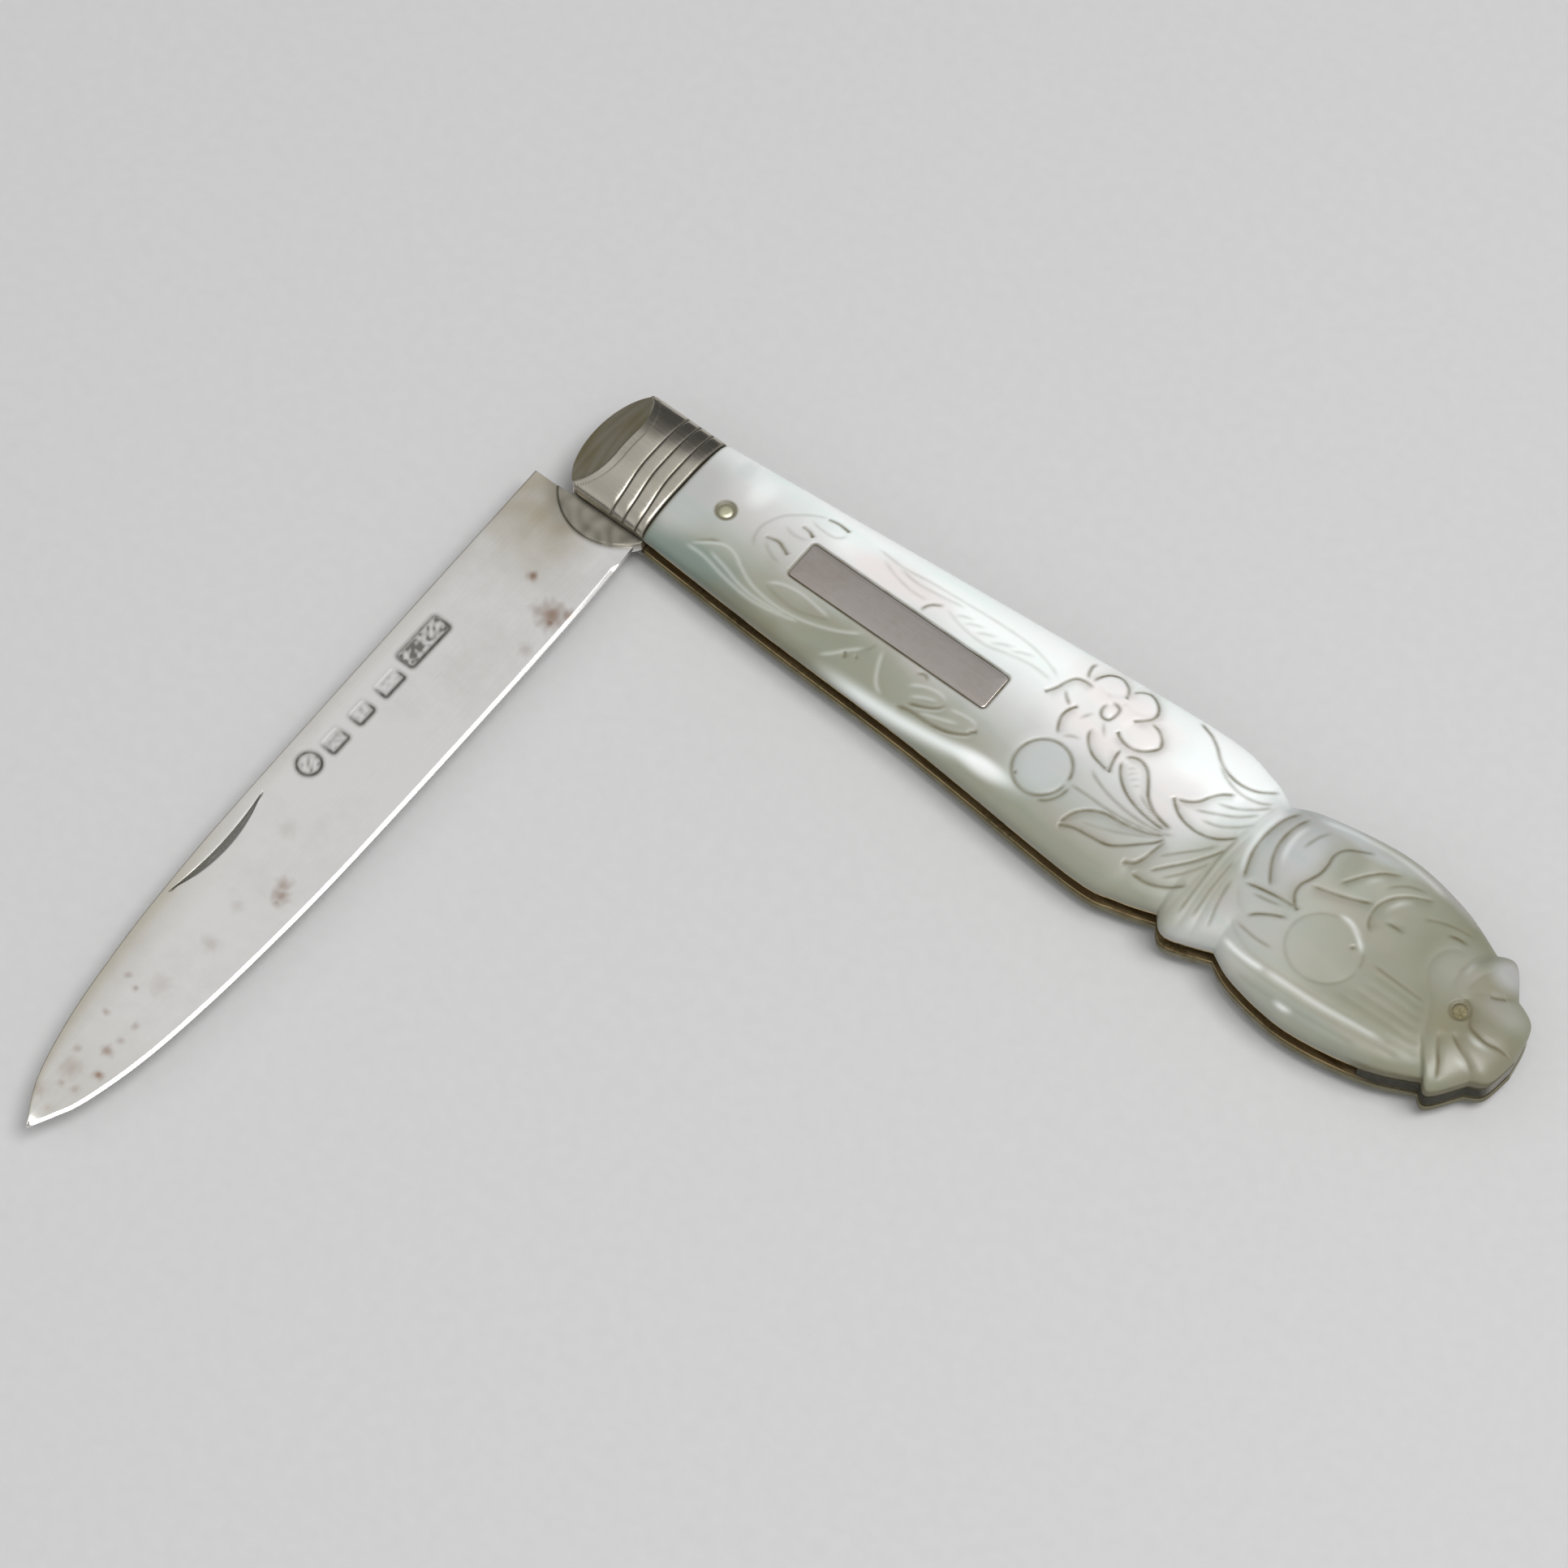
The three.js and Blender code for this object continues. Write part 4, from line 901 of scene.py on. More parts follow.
def make_piece(name, shape, material, crease, flip=False, **attributes):
    """A mesh object from points in millimetres from the pivot, with smooth faces and sharp creases."""
    points, quads, caps = shape
    place = points + np.array([PIVOT[0], PIVOT[1], 0.0])
    loops = np.concatenate([quads.ravel(), *caps])
    totals = np.concatenate([np.full(len(quads), 4), [len(cap) for cap in caps]]).astype(int)
    starts = np.concatenate([[0], np.cumsum(totals)[:-1]])
    mesh = bpy.data.meshes.new(name)
    mesh.vertices.add(len(place))
    mesh.vertices.foreach_set("co", (place * MM).astype(np.float32).ravel())
    mesh.loops.add(len(loops))
    mesh.loops.foreach_set("vertex_index", loops.astype(np.int32))
    mesh.polygons.add(len(totals))
    mesh.polygons.foreach_set("loop_start", starts.astype(np.int32))
    mesh.polygons.foreach_set("use_smooth", np.ones(len(totals), bool))
    for key, values in attributes.items():
        full = np.zeros(len(place), np.float32)
        full[: values.size] = values.ravel()
        mesh.attributes.new(key, "FLOAT", "POINT").data.foreach_set("value", full)
    mesh.update(calc_edges=True)
    if flip:
        mesh.flip_normals()
    mesh.set_sharp_from_angle(angle=math.radians(crease))
    mesh.materials.append(material)
    piece = bpy.data.objects.new(name, mesh)
    bpy.context.scene.collection.objects.link(piece)
    return piece


def put(piece, body, slot, *nodes):
    """Lets a piece ride on a body and stand for CAD nodes; the slot is not used."""
    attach(piece, body)
    if nodes:
        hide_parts(*nodes)


def add(tree, kind, inputs=None, **settings):
    """A node with settings, and its inputs linked or set."""
    made = tree.nodes.new(kind)
    for key, value in settings.items():
        setattr(made, key, value)
    for key, value in (inputs or {}).items():
        if isinstance(value, bpy.types.NodeSocket):
            tree.links.new(value, made.inputs[key])
        else:
            made.inputs[key].default_value = value
    return made


def object_place(tree):
    """The piece's own coordinates."""
    return add(tree, "ShaderNodeTexCoord").outputs["Object"]


def blend(tree, factor, a, b, mode="MIX"):
    """A colour mix of a and b."""
    made = add(tree, "ShaderNodeMix", {0: factor, 6: a, 7: b}, data_type="RGBA", blend_type=mode)
    return made.outputs[2]


def calculate(tree, operation, a, b=0.0, clamp=False):
    """A math node of two values."""
    return add(tree, "ShaderNodeMath", {0: a, 1: b}, operation=operation, use_clamp=clamp).outputs[0]


def vector_math(tree, operation, a, b=(0.0, 0.0, 0.0)):
    """A vector math node of two vectors: its value where the operation gives one, or its vector."""
    made = add(tree, "ShaderNodeVectorMath", {0: a, 1: b}, operation=operation)
    return made.outputs["Value" if operation in ("LENGTH", "DOT_PRODUCT") else "Vector"]


def map_range(tree, value, low, high, start=0.0, end=1.0, shape="LINEAR"):
    """A value between low and high carried to between start and end."""
    inputs = {0: value, 1: low, 2: high, 3: start, 4: end}
    return add(tree, "ShaderNodeMapRange", inputs, interpolation_type=shape).outputs[0]


def noise(tree, place, scale, detail, distortion=0.0):
    """The outputs of a noise: its value comes first."""
    inputs = {"Vector": place, "Scale": scale, "Detail": detail, "Distortion": distortion}
    return add(tree, "ShaderNodeTexNoise", inputs).outputs


def ramp(tree, value, stops):
    """A colour ramp through (place, colour) stops."""
    made = add(tree, "ShaderNodeValToRGB", {0: value})
    elements = made.color_ramp.elements
    while len(elements) < len(stops):
        elements.new(0.5)
    for element, (place, colour) in zip(elements, stops):
        element.position = place
        element.color = rgba(colour)
    return made.outputs[0]


def rgba(colour):
    """A colour with full alpha."""
    return (*colour[:3], 1.0)


def break_normal(tree, shader, height, strength):
    """Lets a height break a shader's normal."""
    inputs = {"Height": height, "Strength": strength, "Distance": BUMP_DEPTH}
    tree.links.new(add(tree, "ShaderNodeBump", inputs).outputs[0], shader.inputs["Normal"])


def effect_group(name, inputs, output):
    """An empty shader node group with named inputs (name, default) and one named value as its output."""
    tree = bpy.data.node_groups.new(name, "ShaderNodeTree")
    for label, default in inputs:
        made = tree.interface.new_socket(label, in_out="INPUT", socket_type="NodeSocketFloat")
        made.default_value = default
    tree.interface.new_socket(output, in_out="OUTPUT", socket_type="NodeSocketFloat")
    return tree, tree.nodes.new("NodeGroupInput").outputs, tree.nodes.new("NodeGroupOutput").inputs


def tarnish_group():
    """Cloudy tarnish: two scales of noise on Object coordinates, cut to a soft mask."""
    tree, given, result = effect_group("Tarnish cloud", [("Scale", 300.0), ("Amount", 0.5)], "Mask")
    place = object_place(tree)
    broad = noise(tree, place, given["Scale"], CLOUD_DETAIL[0])[0]
    finer = calculate(tree, "MULTIPLY", given["Scale"], CLOUD_FINER)
    fine = noise(tree, place, finer, CLOUD_DETAIL[1])[0]
    both = calculate(tree, "MULTIPLY", broad, calculate(tree, "ADD", fine, CLOUD_LEAST))
    clouds = map_range(tree, both, *CLOUD_CUT)
    tree.links.new(calculate(tree, "MULTIPLY", clouds, given["Amount"]), result["Mask"])


def brushing_group():
    """Fine polishing lines: noise stretched along one axis of the Object coordinates."""
    inputs = [("Along X", 40.0), ("Along Y", 40.0), ("Along Z", 40.0)]
    tree, given, result = effect_group("Polishing lines", inputs, "Height")
    axes = add(tree, "ShaderNodeCombineXYZ", {i: given[i] for i in range(3)}).outputs[0]
    stretched = vector_math(tree, "MULTIPLY", object_place(tree), axes)
    tree.links.new(noise(tree, stretched, *BRUSH_NOISE)[0], result["Height"])


def use_group(tree, group, **values):
    """A shared effect placed in a material with its own values."""
    made = tree.nodes.new("ShaderNodeGroup")
    made.node_tree = bpy.data.node_groups[group]
    for key, value in values.items():
        made.inputs[key.replace("_", " ")].default_value = value
    return made.outputs[0]


def new_material(name):
    """A material, its node tree and its Principled shader."""
    material = bpy.data.materials.new(name)
    material.use_nodes = True
    return material, material.node_tree, material.node_tree.nodes["Principled BSDF"]


def attribute(tree, name):
    """A piece's own value at each point; 0 where it has none."""
    return add(tree, "ShaderNodeAttribute", attribute_name=name).outputs["Fac"]


def metal(colours, name, shade_gates=()):
    """One of METALS: toning, tarnish and soil tint it where a piece asks, painted shade darkens it where its
    gates ask, and lines break its shine.
    """
    colour, dull, roughness, brush, cloud = METALS[name]
    material, tree, shader = new_material(name)
    shader.inputs["Metallic"].default_value = 1.0
    clouds = use_group(tree, "Tarnish cloud", Scale=cloud[0], Amount=cloud[1])
    mask = calculate(tree, "MAXIMUM", clouds, attribute(tree, "tarnish"))
    soil_and_shade = attribute(tree, "soil_and_shade")
    for axis, unshaded, darkened in shade_gates:
        along = add(tree, "ShaderNodeSeparateXYZ", {0: object_place(tree)}).outputs[axis]
        low, high = (float(limit + PIVOT[axis]) * MM for limit in (unshaded, darkened))
        soil_and_shade = calculate(tree, "MAXIMUM", soil_and_shade, map_range(tree, along, low, high, 0.0, GATE_SHADE))
    toned = blend(tree, attribute(tree, "toning"), rgba(getattr(colours, colour)), rgba(colours.toning))
    tarnished = blend(tree, mask, toned, rgba(getattr(colours, dull)))
    tree.links.new(blend(tree, soil_and_shade, tarnished, rgba(colours.soil_and_shade)), shader.inputs["Base Color"])
    lines = use_group(tree, "Polishing lines", Along_X=brush[0], Along_Y=brush[1], Along_Z=brush[2])
    polished = map_range(tree, lines, *BRUSH_RANGE, *[roughness * share for share in BRUSH_ROUGH])
    worn = calculate(tree, "ADD", polished, calculate(tree, "MULTIPLY", mask, TARNISH_ROUGH), True)
    rough = calculate(tree, "ADD", worn, calculate(tree, "MULTIPLY", soil_and_shade, SOIL_ROUGH), True)
    tree.links.new(rough, shader.inputs["Roughness"])
    break_normal(tree, shader, lines, BRUSH_BUMP)
    return material


def tinted(tree, place, base, centre, radii, strength, colour):
    """A base colour with a soft oval tint about a place given in millimetres from the pivot."""
    middle = (float(centre[0] + PIVOT[0]) * MM, float(centre[1] + PIVOT[1]) * MM, 0.0)
    shrink = (1 / (radii[0] * MM), 1 / (radii[1] * MM), 0.0)
    oval = vector_math(tree, "MULTIPLY", vector_math(tree, "SUBTRACT", place, middle), shrink)
    far = vector_math(tree, "LENGTH", oval)
    return blend(tree, map_range(tree, far, *TINT_EDGE, strength, 0.0, "SMOOTHSTEP"), base, rgba(colour))


def shades(colours, stops):
    """Stops of a ramp with the colours that they name."""
    return [(share, getattr(colours, key)) for share, key in stops]


def pearl_ground(tree, place, colours):
    """The pearl's milky layers: white along the back and olive along the slot, painted sheen and shade over
    its own tone, and beige past the waist.
    """
    axes = add(tree, "ShaderNodeSeparateXYZ", {0: place}).outputs
    along, across = axes[0], axes[1]
    skewed = calculate(tree, "ADD", across, calculate(tree, "MULTIPLY", along, PEARL_SKEW))
    low = float(PEARL_LOW + PIVOT[1] + PEARL_SKEW * (PIVOT[0] + PEARL_SKEW_X)) * MM
    waist, end = float(WAIST_X + PIVOT[0]) * MM, float(TAIL_X + PIVOT[0]) * MM
    body = ramp(tree, map_range(tree, skewed, low, low + PEARL_SPAN * MM), shades(colours, PEARL_ACROSS))
    tail = ramp(tree, map_range(tree, along, waist, end), shades(colours, PEARL_PAST_WAIST))
    past = map_range(tree, along, waist + WAIST_FADE[0] * MM, waist + WAIST_FADE[1] * MM)
    return blend(tree, past, body, tail)


def pearl_material(colours):
    """Mother-of-pearl: milky layers with painted sheen and shade, a figure of pink and green, painted
    highlights on the relief, and stained cuts with painted shade beside them.
    """
    material, tree, shader = new_material("Carved pearl")
    place = object_place(tree)
    shift = vector_math(tree, "SUBTRACT", noise(tree, place, *PEARL_DRIFT)["Color"], (0.5, 0.5, 0.5))
    wandering = vector_math(tree, "ADD", place, vector_math(tree, "MULTIPLY", shift, PEARL_SWAY))
    milk = pearl_ground(tree, wandering, colours)
    for centre, radii, strength, key in PEARL_TINTS:
        where = wandering if radii[0] > BROAD_TINT else place
        milk = tinted(tree, where, milk, centre, radii, strength, getattr(colours, key))
    layers = add(tree, "ShaderNodeMapping", {"Vector": place, **PEARL_LAYERS}).outputs[0]
    figure = ramp(tree, noise(tree, layers, *PEARL_FIGURE)[0], PEARL_SHEEN)
    body = blend(tree, SHEEN_SHARE, milk, figure, "MULTIPLY")
    # Painted highlights: the relief's highlights are mixed toward the white of the back.
    body = blend(tree, attribute(tree, "painted_highlight"), body, rgba(colours.pearl_white))
    uneven = calculate(tree, "ADD", noise(tree, place, *STAIN_PATCHES)[0], STAIN_LEAST)
    # Stain in the cuts, mixed with painted shade beside them and on the walls by the slot.
    dirt_and_shade = calculate(tree, "MULTIPLY", attribute(tree, "stain_and_shade"), uneven, True)
    tree.links.new(blend(tree, dirt_and_shade, body, rgba(colours.stain_and_shade)), shader.inputs["Base Color"])
    rough = calculate(tree, "ADD", calculate(tree, "MULTIPLY", dirt_and_shade, STAIN_ROUGH), PEARL_ROUGH)
    tree.links.new(rough, shader.inputs["Roughness"])
    for key, value in PEARL_SHINE.items():
        shader.inputs[key].default_value = value
    break_normal(tree, shader, noise(tree, layers, *PEARL_FIBRES)[0], PEARL_BUMP)
    return material


def length_property(name, description, default):
    """A length in metres that the panel shows."""
    return bpy.props.FloatProperty(name=name, description=description, default=default, unit="LENGTH")


def colour_property(name, description, default):
    """A colour that the panel shows."""
    return bpy.props.FloatVectorProperty(name=name, description=description, default=default, subtype="COLOR")


class KnifeSizes(bpy.types.PropertyGroup):
    """Sizes of the finish that a user would change."""

    carving: bpy.props.FloatProperty(
        name="Carving", description="How deep the pearl is carved, as a share of the usual depth",
        default=1.0, min=0.0, max=2.0, subtype="FACTOR")
    thread_depth: length_property("Thread depth", "Depth of the threads cut across the bolsters", 0.00009)
    nick_depth: length_property("Nick depth", "Depth of the nail nick at its steep side", 0.00024)
    seal_depth: length_property("Seal depth", "Depth of the blank seals on the blade", 0.00003)
    plate_sink: length_property("Plate sink", "How far the name plate lies below the pearl", 0.00004)
    rivet_sink: length_property("Rivet sink", "How far a rivet's head lies below the pearl", 0.00003)


class KnifeColours(bpy.types.PropertyGroup):
    """Colours that a user would change."""

    # The back's white and the slot side's olive are painted sheen and shade over the pearl's own tone; the
    # white also colours the painted highlights.
    pearl_white: colour_property("Pearl at the back", "Pearl along the handle's back", (0.95, 0.99, 0.98))
    pearl_grey: colour_property("Pearl in the middle", "Pearl along the middle", (0.6, 0.61, 0.6))
    pearl_olive: colour_property("Pearl at the slot", "Pearl along the slot side", (0.27, 0.275, 0.21))
    pearl_teal: colour_property("Pearl at the bolster", "Pearl low beside the bolster", (0.17, 0.225, 0.2))
    pearl_pink: colour_property("Pearl at the leaves", "Pearl round the leaves", (0.8, 0.72, 0.71))
    pearl_mist: colour_property("Pearl at the waist", "Misty pearl at waist and ends", (0.45, 0.46, 0.45))
    pearl_shade: colour_property("Pearl of the cherry", "Bluish pearl, as on the cherry", (0.5, 0.53, 0.53))
    pearl_lilac: colour_property("Pearl at the petals", "Lilac pearl past the waist", (0.435, 0.425, 0.422))
    pearl_amber: colour_property("Pearl at the rivet", "Stained pearl at the tail rivet", (0.22, 0.195, 0.1))
    pearl_beige: colour_property("Pearl past the waist", "Pearl past the waist", (0.38, 0.38, 0.318))
    pearl_deep: colour_property("Pearl at the tail", "Pearl at the tail's end", (0.24, 0.235, 0.165))
    # Also the colour of painted shade beside the cuts and on the walls by the slot.
    stain_and_shade: colour_property("Stain", "Old dirt in the carved cuts", (0.13, 0.112, 0.055))
    silver: colour_property("Silver", "Polished silver of the blade", (0.93, 0.92, 0.9))
    tarnish: colour_property("Tarnish", "Tarnished silver", (0.3, 0.19, 0.13))
    toning: colour_property("Toning", "Silver yellowed by age", (0.57, 0.52, 0.4))
    # Also the colour of painted shade on the metals.
    soil_and_shade: colour_property("Soil", "Dirt in the corners of the metal", (0.06, 0.06, 0.045))
    bolster: colour_property("Bolster", "Worn silver of the bolsters", (0.61, 0.57, 0.49))
    bolster_dull: colour_property("Dull bolster", "Tarnish of the bolsters", (0.3, 0.26, 0.13))
    plate: colour_property("Plate", "Silver of the name plate", (0.52, 0.48, 0.45))
    rivet: colour_property("Rivet", "Pale metal of the rivets by the bolster", (0.56, 0.55, 0.4))
    old_rivet: colour_property("Tail rivet", "Worn metal of the tail rivet", (0.33, 0.3, 0.19))
    old_rivet_dull: colour_property("Dull tail rivet", "Tarnish of the tail rivet", (0.24, 0.19, 0.08))
    gilt: colour_property("Liner", "Brass of the liners", (0.55, 0.42, 0.22))
    gilt_dull: colour_property("Dull liner", "Tarnish of the liners", (0.1, 0.07, 0.03))
    steel: colour_property("Spring", "Spring steel", (0.25, 0.23, 0.2))
    steel_dull: colour_property("Dull spring", "Tarnish of the spring", (0.16, 0.12, 0.08))
    floor: colour_property("Floor", "The floor under the knife", (0.6, 0.6, 0.6))


def scale_surface(x, y, low, high, carving, with_plate):
    """Height, stain with painted shade, and painted highlight of a carved scale: the dome less cuts, dips and
    seat, plus swellings.
    """
    depth, stain_and_shade, painted_highlight = carve(x, y)
    z = scale_dome(x, y, low, high) + (swell(x, y) - depth) * carving
    from_bolster = x - JUNCTION_X
    z -= END_DROP[0] * np.exp(-from_bolster / END_DROP[1])
    stain_and_shade = np.maximum(stain_and_shade, bell(from_bolster / END_STAIN))
    for pin, dark in RIVET_STAINS:
        radius = np.hypot(x - pin[0], y - pin[1])
        z -= RIVET_DIP * smooth(*RIVET_DIP_RING, radius)
        stain_and_shade = np.maximum(stain_and_shade, dark * smooth(*RIVET_STAIN_RING, radius))
    if with_plate:
        gap = box_distance(x, y, PLATE_CENTRE, PLATE_HALF, PLATE_CORNER)
        z -= SEAT_DEPTH * smooth(*SEAT_WALL, gap)
        # The seat's wall is darkened: stain with painted shade.
        stain_and_shade = np.maximum(stain_and_shade, SEAT_DARK * smooth(*SEAT_DARK_REACH, gap))
    return np.maximum(z, SCALE_LEAST), stain_and_shade, painted_highlight


class KNIFE_OT_scales(bpy.types.Operator):
    """Carve the two mother-of-pearl scales"""

    bl_idname = "knife.scales"
    bl_label = "Carved scales"

    def execute(self, context):
        sizes = context.scene.knife_sizes
        material = pearl_material(context.scene.knife_colours)
        body = np.linspace(JUNCTION_X, TAIL_X - END_LENGTH, SCALE_ROWS, endpoint=False)
        end = TAIL_X - END_LENGTH * (1 - np.linspace(0, END_SHARE, END_ROWS)) ** END_CROWD
        rows = np.concatenate([body, end])
        low = np.interp(rows, *SLOT_LINE.T)
        high = np.interp(rows, *BACK_LINE.T)
        y = strip_columns(low, high, SCALE_COLUMNS)
        x = np.broadcast_to(rows[:, None], y.shape)
        under_y = np.stack([low, high], 1)
        under_x = np.broadcast_to(rows[:, None], under_y.shape)
        for name, node in (("scale_front", "front_scale"), ("scale_back", "back_scale")):
            front = node == "front_scale"
            z, stain_and_shade, painted_highlight = scale_surface(x, y, low[:, None], high[:, None], sizes.carving, front)
            # Painted shade, with some dirt, on the slot side's wall and lower rim; on the front scale only
            # towards the tail.
            wall = np.zeros_like(under_y)
            wall[:, 0] = SLOT_SHADE_AND_DIRT * smooth(*TAIL_SHADE, rows) if front else SLOT_SHADE_AND_DIRT
            creep = smooth(SLOT_CREEP[node], CREEP_FULL, y - low[:, None])
            stain_and_shade = np.maximum(stain_and_shade, wall[:, :1] * creep)
            marks = {"stain_and_shade": np.concatenate([stain_and_shade.ravel(), wall.ravel()]), "painted_highlight": painted_highlight}
            shape = face_shell(front, (x, y, z), (under_x, under_y))
            piece = make_piece(name, shape, material, CREASE["scale"], flip=not front, **marks)
            put(piece, "handle", "pearl", node)
        return {"FINISHED"}


def bolster_surface(x, y, thread_depth):
    """Height, tarnish, and soil with painted shade, of a bolster: a dome in bands between threads, cut by a
    bordered facet.
    """
    aside = y - CENTRE_Y
    z = domed(np.clip((BOLSTER_HALF - np.abs(aside)) / DOME_WIDTH, 0, 1))
    soil_and_shade = np.zeros_like(x)
    bent = x - THREAD_BOW[0] * smooth(0, THREAD_BOW[1], -aside)
    darkened, reach_before, reach_after = THREAD_SOIL
    for thread in THREADS:
        before, after = np.maximum(thread - bent, 0), np.maximum(bent - thread, 0)
        wall = np.exp(-before / THREAD_WALL - after / THREAD_WALL)
        z -= thread_depth * (wall + BAND_ROUND * np.exp(-before / BAND_FALL - after / THREAD_WALL))
        soil_and_shade = np.maximum(soil_and_shade, darkened * np.exp(-((before / reach_before) ** 2) - after / reach_after))
    end = np.maximum(BOLSTER_BACK - x, 0)
    z -= thread_depth * (END_STEP[0] * np.exp(-end / END_STEP[1]) + BAND_ROUND * np.exp(-end / BAND_FALL))
    soil_and_shade = np.maximum(soil_and_shade, np.exp(-end / END_SOIL))
    facet = FACET_LOW + FACET_SLOPE * (x - BOLSTER_FRONT) - FACET_BOW * aside**2
    over = z - facet
    past = np.maximum(over - FACET_BORDER, 0)
    inner = smooth(0, FACET_EASE, past)
    border = BORDER_RISE * np.minimum(over, FACET_BORDER) * np.exp(-past / BORDER_FALL)
    strength, width, reach = RIM_SOIL
    rim = strength * (bell(over / width) * (x < FACET_X + reach))
    # Painted shade in the step inside the facet's border.
    strength, place, width = FACET_SHADE
    corner = strength * bell((past - place) / width) * inner
    streaks = patchy(FACET_FINER * x, y, *FACET_STREAKS)
    on_facet = over > 0
    soil_and_shade = np.where(on_facet, corner, np.maximum(soil_and_shade, rim))
    return np.where(on_facet, facet + border, z), streaks * inner, soil_and_shade


class KNIFE_OT_bolsters(bpy.types.Operator):
    """Form the two reeded silver bolsters"""

    bl_idname = "knife.bolsters"
    bl_label = "Bolsters"

    def execute(self, context):
        material = metal(context.scene.knife_colours, "Bolster silver")
        edges = np.array([CENTRE_Y - BOLSTER_HALF]), np.array([CENTRE_Y + BOLSTER_HALF])
        rows = strip_columns(*edges, BOLSTER_ROWS)[0]
        reach = np.sqrt(np.maximum(1 - ((rows - CENTRE_Y) / BOLSTER_HALF) ** 2, 0))
        front = BOLSTER_SHOULDER - (BOLSTER_SHOULDER - BOLSTER_FRONT) * reach
        x = front[:, None] + (BOLSTER_BACK - front[:, None]) * np.linspace(0, 1, BOLSTER_COLUMNS)
        y = np.broadcast_to(rows[:, None], x.shape)
        z, tarnish, soil_and_shade = bolster_surface(x, y, context.scene.knife_sizes.thread_depth / MM)
        under_x = np.stack([front, np.full_like(front, BOLSTER_BACK)], 1)
        under_y = np.broadcast_to(rows[:, None], under_x.shape)
        for name, node in (("bolster_front", "front_bolster"), ("bolster_back", "back_bolster")):
            is_front = node == "front_bolster"
            shape = face_shell(is_front, (x, y, z), (under_x, under_y))
            marks = {"tarnish": tarnish, "soil_and_shade": soil_and_shade}
            piece = make_piece(name, shape, material, CREASE["bolster"], flip=is_front, **marks)
            put(piece, "handle", "silver", node)
        return {"FINISHED"}


def nick_swing(x):
    """How full the nail nick's crescent is: 1 in its middle, falling as a parabola to 0 at its horns."""
    return np.clip(1 - ((x - NICK_X) / NICK_HALF) ** 2, 0, 1)


def nick(x, across, deep):
    """Depth and soil of the nail nick: a shallow lip, a steep side and a gentle rise across its width."""
    swing = nick_swing(x)
    inside = (across > 0) & (across < 1)
    slope = np.where(inside, np.minimum(across / NICK_STEEP, (1 - across) / (1 - NICK_STEEP)), 0)
    lip = NICK_LIP[1] * smooth(-NICK_LIP[0], 0, across) * (across < 1)
    depth = np.maximum(deep * np.clip(slope, 0, 1), np.where(inside, 0, lip)) * np.sqrt(swing)
    soil_and_shade = np.where(inside, NICK_SOIL[0] - NICK_SOIL[1] * across, 0) * smooth(0, NICK_SOIL_FADE, swing)
    return depth, soil_and_shade


def seals(x, y, deep):
    """Depth and soil of the blank seals: sunk floors with grime, and rims that wear off to the spine."""
    depth, soil_and_shade = np.zeros_like(x), np.zeros_like(x)
    crossed = blotches(x, y, GRIME_SIZES[0]) * blotches(1.3 * y + 2, x - 0.6 * y, GRIME_SIZES[1])
    grime = np.minimum(GRIME * crossed, 1)
    for centre, half, corner, darkened, even in SEALS:
        gap = box_distance(x, y, centre, half, corner)
        depth = np.maximum(depth, deep * smooth(*SEAL_WALL, gap))
        worn = even + (1 - even) * smooth(*SEAL_WEAR, (y - centre[1]) / half[1])
        rim = bell((gap + SEAL_RIM[0]) / SEAL_RIM[1]) * patchy(x, y, *SEAL_RIM_PATCHES) * worn
        floor = smooth(*SEAL_FLOOR, gap) * darkened * grime
        soil_and_shade = np.maximum(soil_and_shade, np.maximum(rim, floor))
    return depth, soil_and_shade


def tang_shadow(x, y):
    """Painted shadow on the leaf along the tang's arc: a thin line under the step, and a soft painted shade
    beside it on the spine's side.
    """
    step = np.maximum(np.hypot(x - TANG_ARC[0], y - TANG_ARC[1]) - TANG_ARC[2], 0)
    line = bell(step / LINE_WIDTH) * (LINE_SHADOW[0] + LINE_SHADOW[1] * smooth(*LINE_SIDE, y))
    shade = SHADE_STRENGTH * bell(step / SHADE_WIDTH) * smooth(*SHADE_SIDE, y)
    return np.maximum(line, shade)


def spots(x, y):
    """Tarnish spots: each falls off from its middle over an uneven reach."""
    tarnish = np.zeros_like(x)
    edge = patchy(x, y, *SPOT_EDGE)
    for centre, radius, strength in SPOTS:
        gap = np.hypot(x - centre[0], y - centre[1]) / (radius * SPOT_SIZE * edge)
        tarnish = np.maximum(tarnish, min(strength * SPOT_STRENGTH, SPOT_MOST) * bell(gap))
    return tarnish


def blade_toning(x, y, on_face):
    """Where the silver has yellowed: at the heel, along the spine and faintly at the tip."""
    along, across, patches = HEEL_TONING
    heel = smooth(*along, x) * smooth(*across, y) * patchy(x, y, *patches)
    strength, near = SPINE_TONING
    spine = strength * smooth(*near, on_face)
    strength, near, along = BACK_TONING
    spine = spine + strength * smooth(*near, on_face) * smooth(*along, x)
    strength, along = TIP_TONING
    return np.maximum(np.maximum(heel, spine), strength * smooth(*along, x))


def at_rest(points):
    """Points of the blade's own frame where they lie in the half-open knife."""
    return np.stack([points[..., 1], -points[..., 0], points[..., 2] + PIVOT[2]], -1)


def even_shares(count):
    """Shares of a stretch in even steps, without its start."""
    return np.linspace(0, 1, count + 1)[1:]


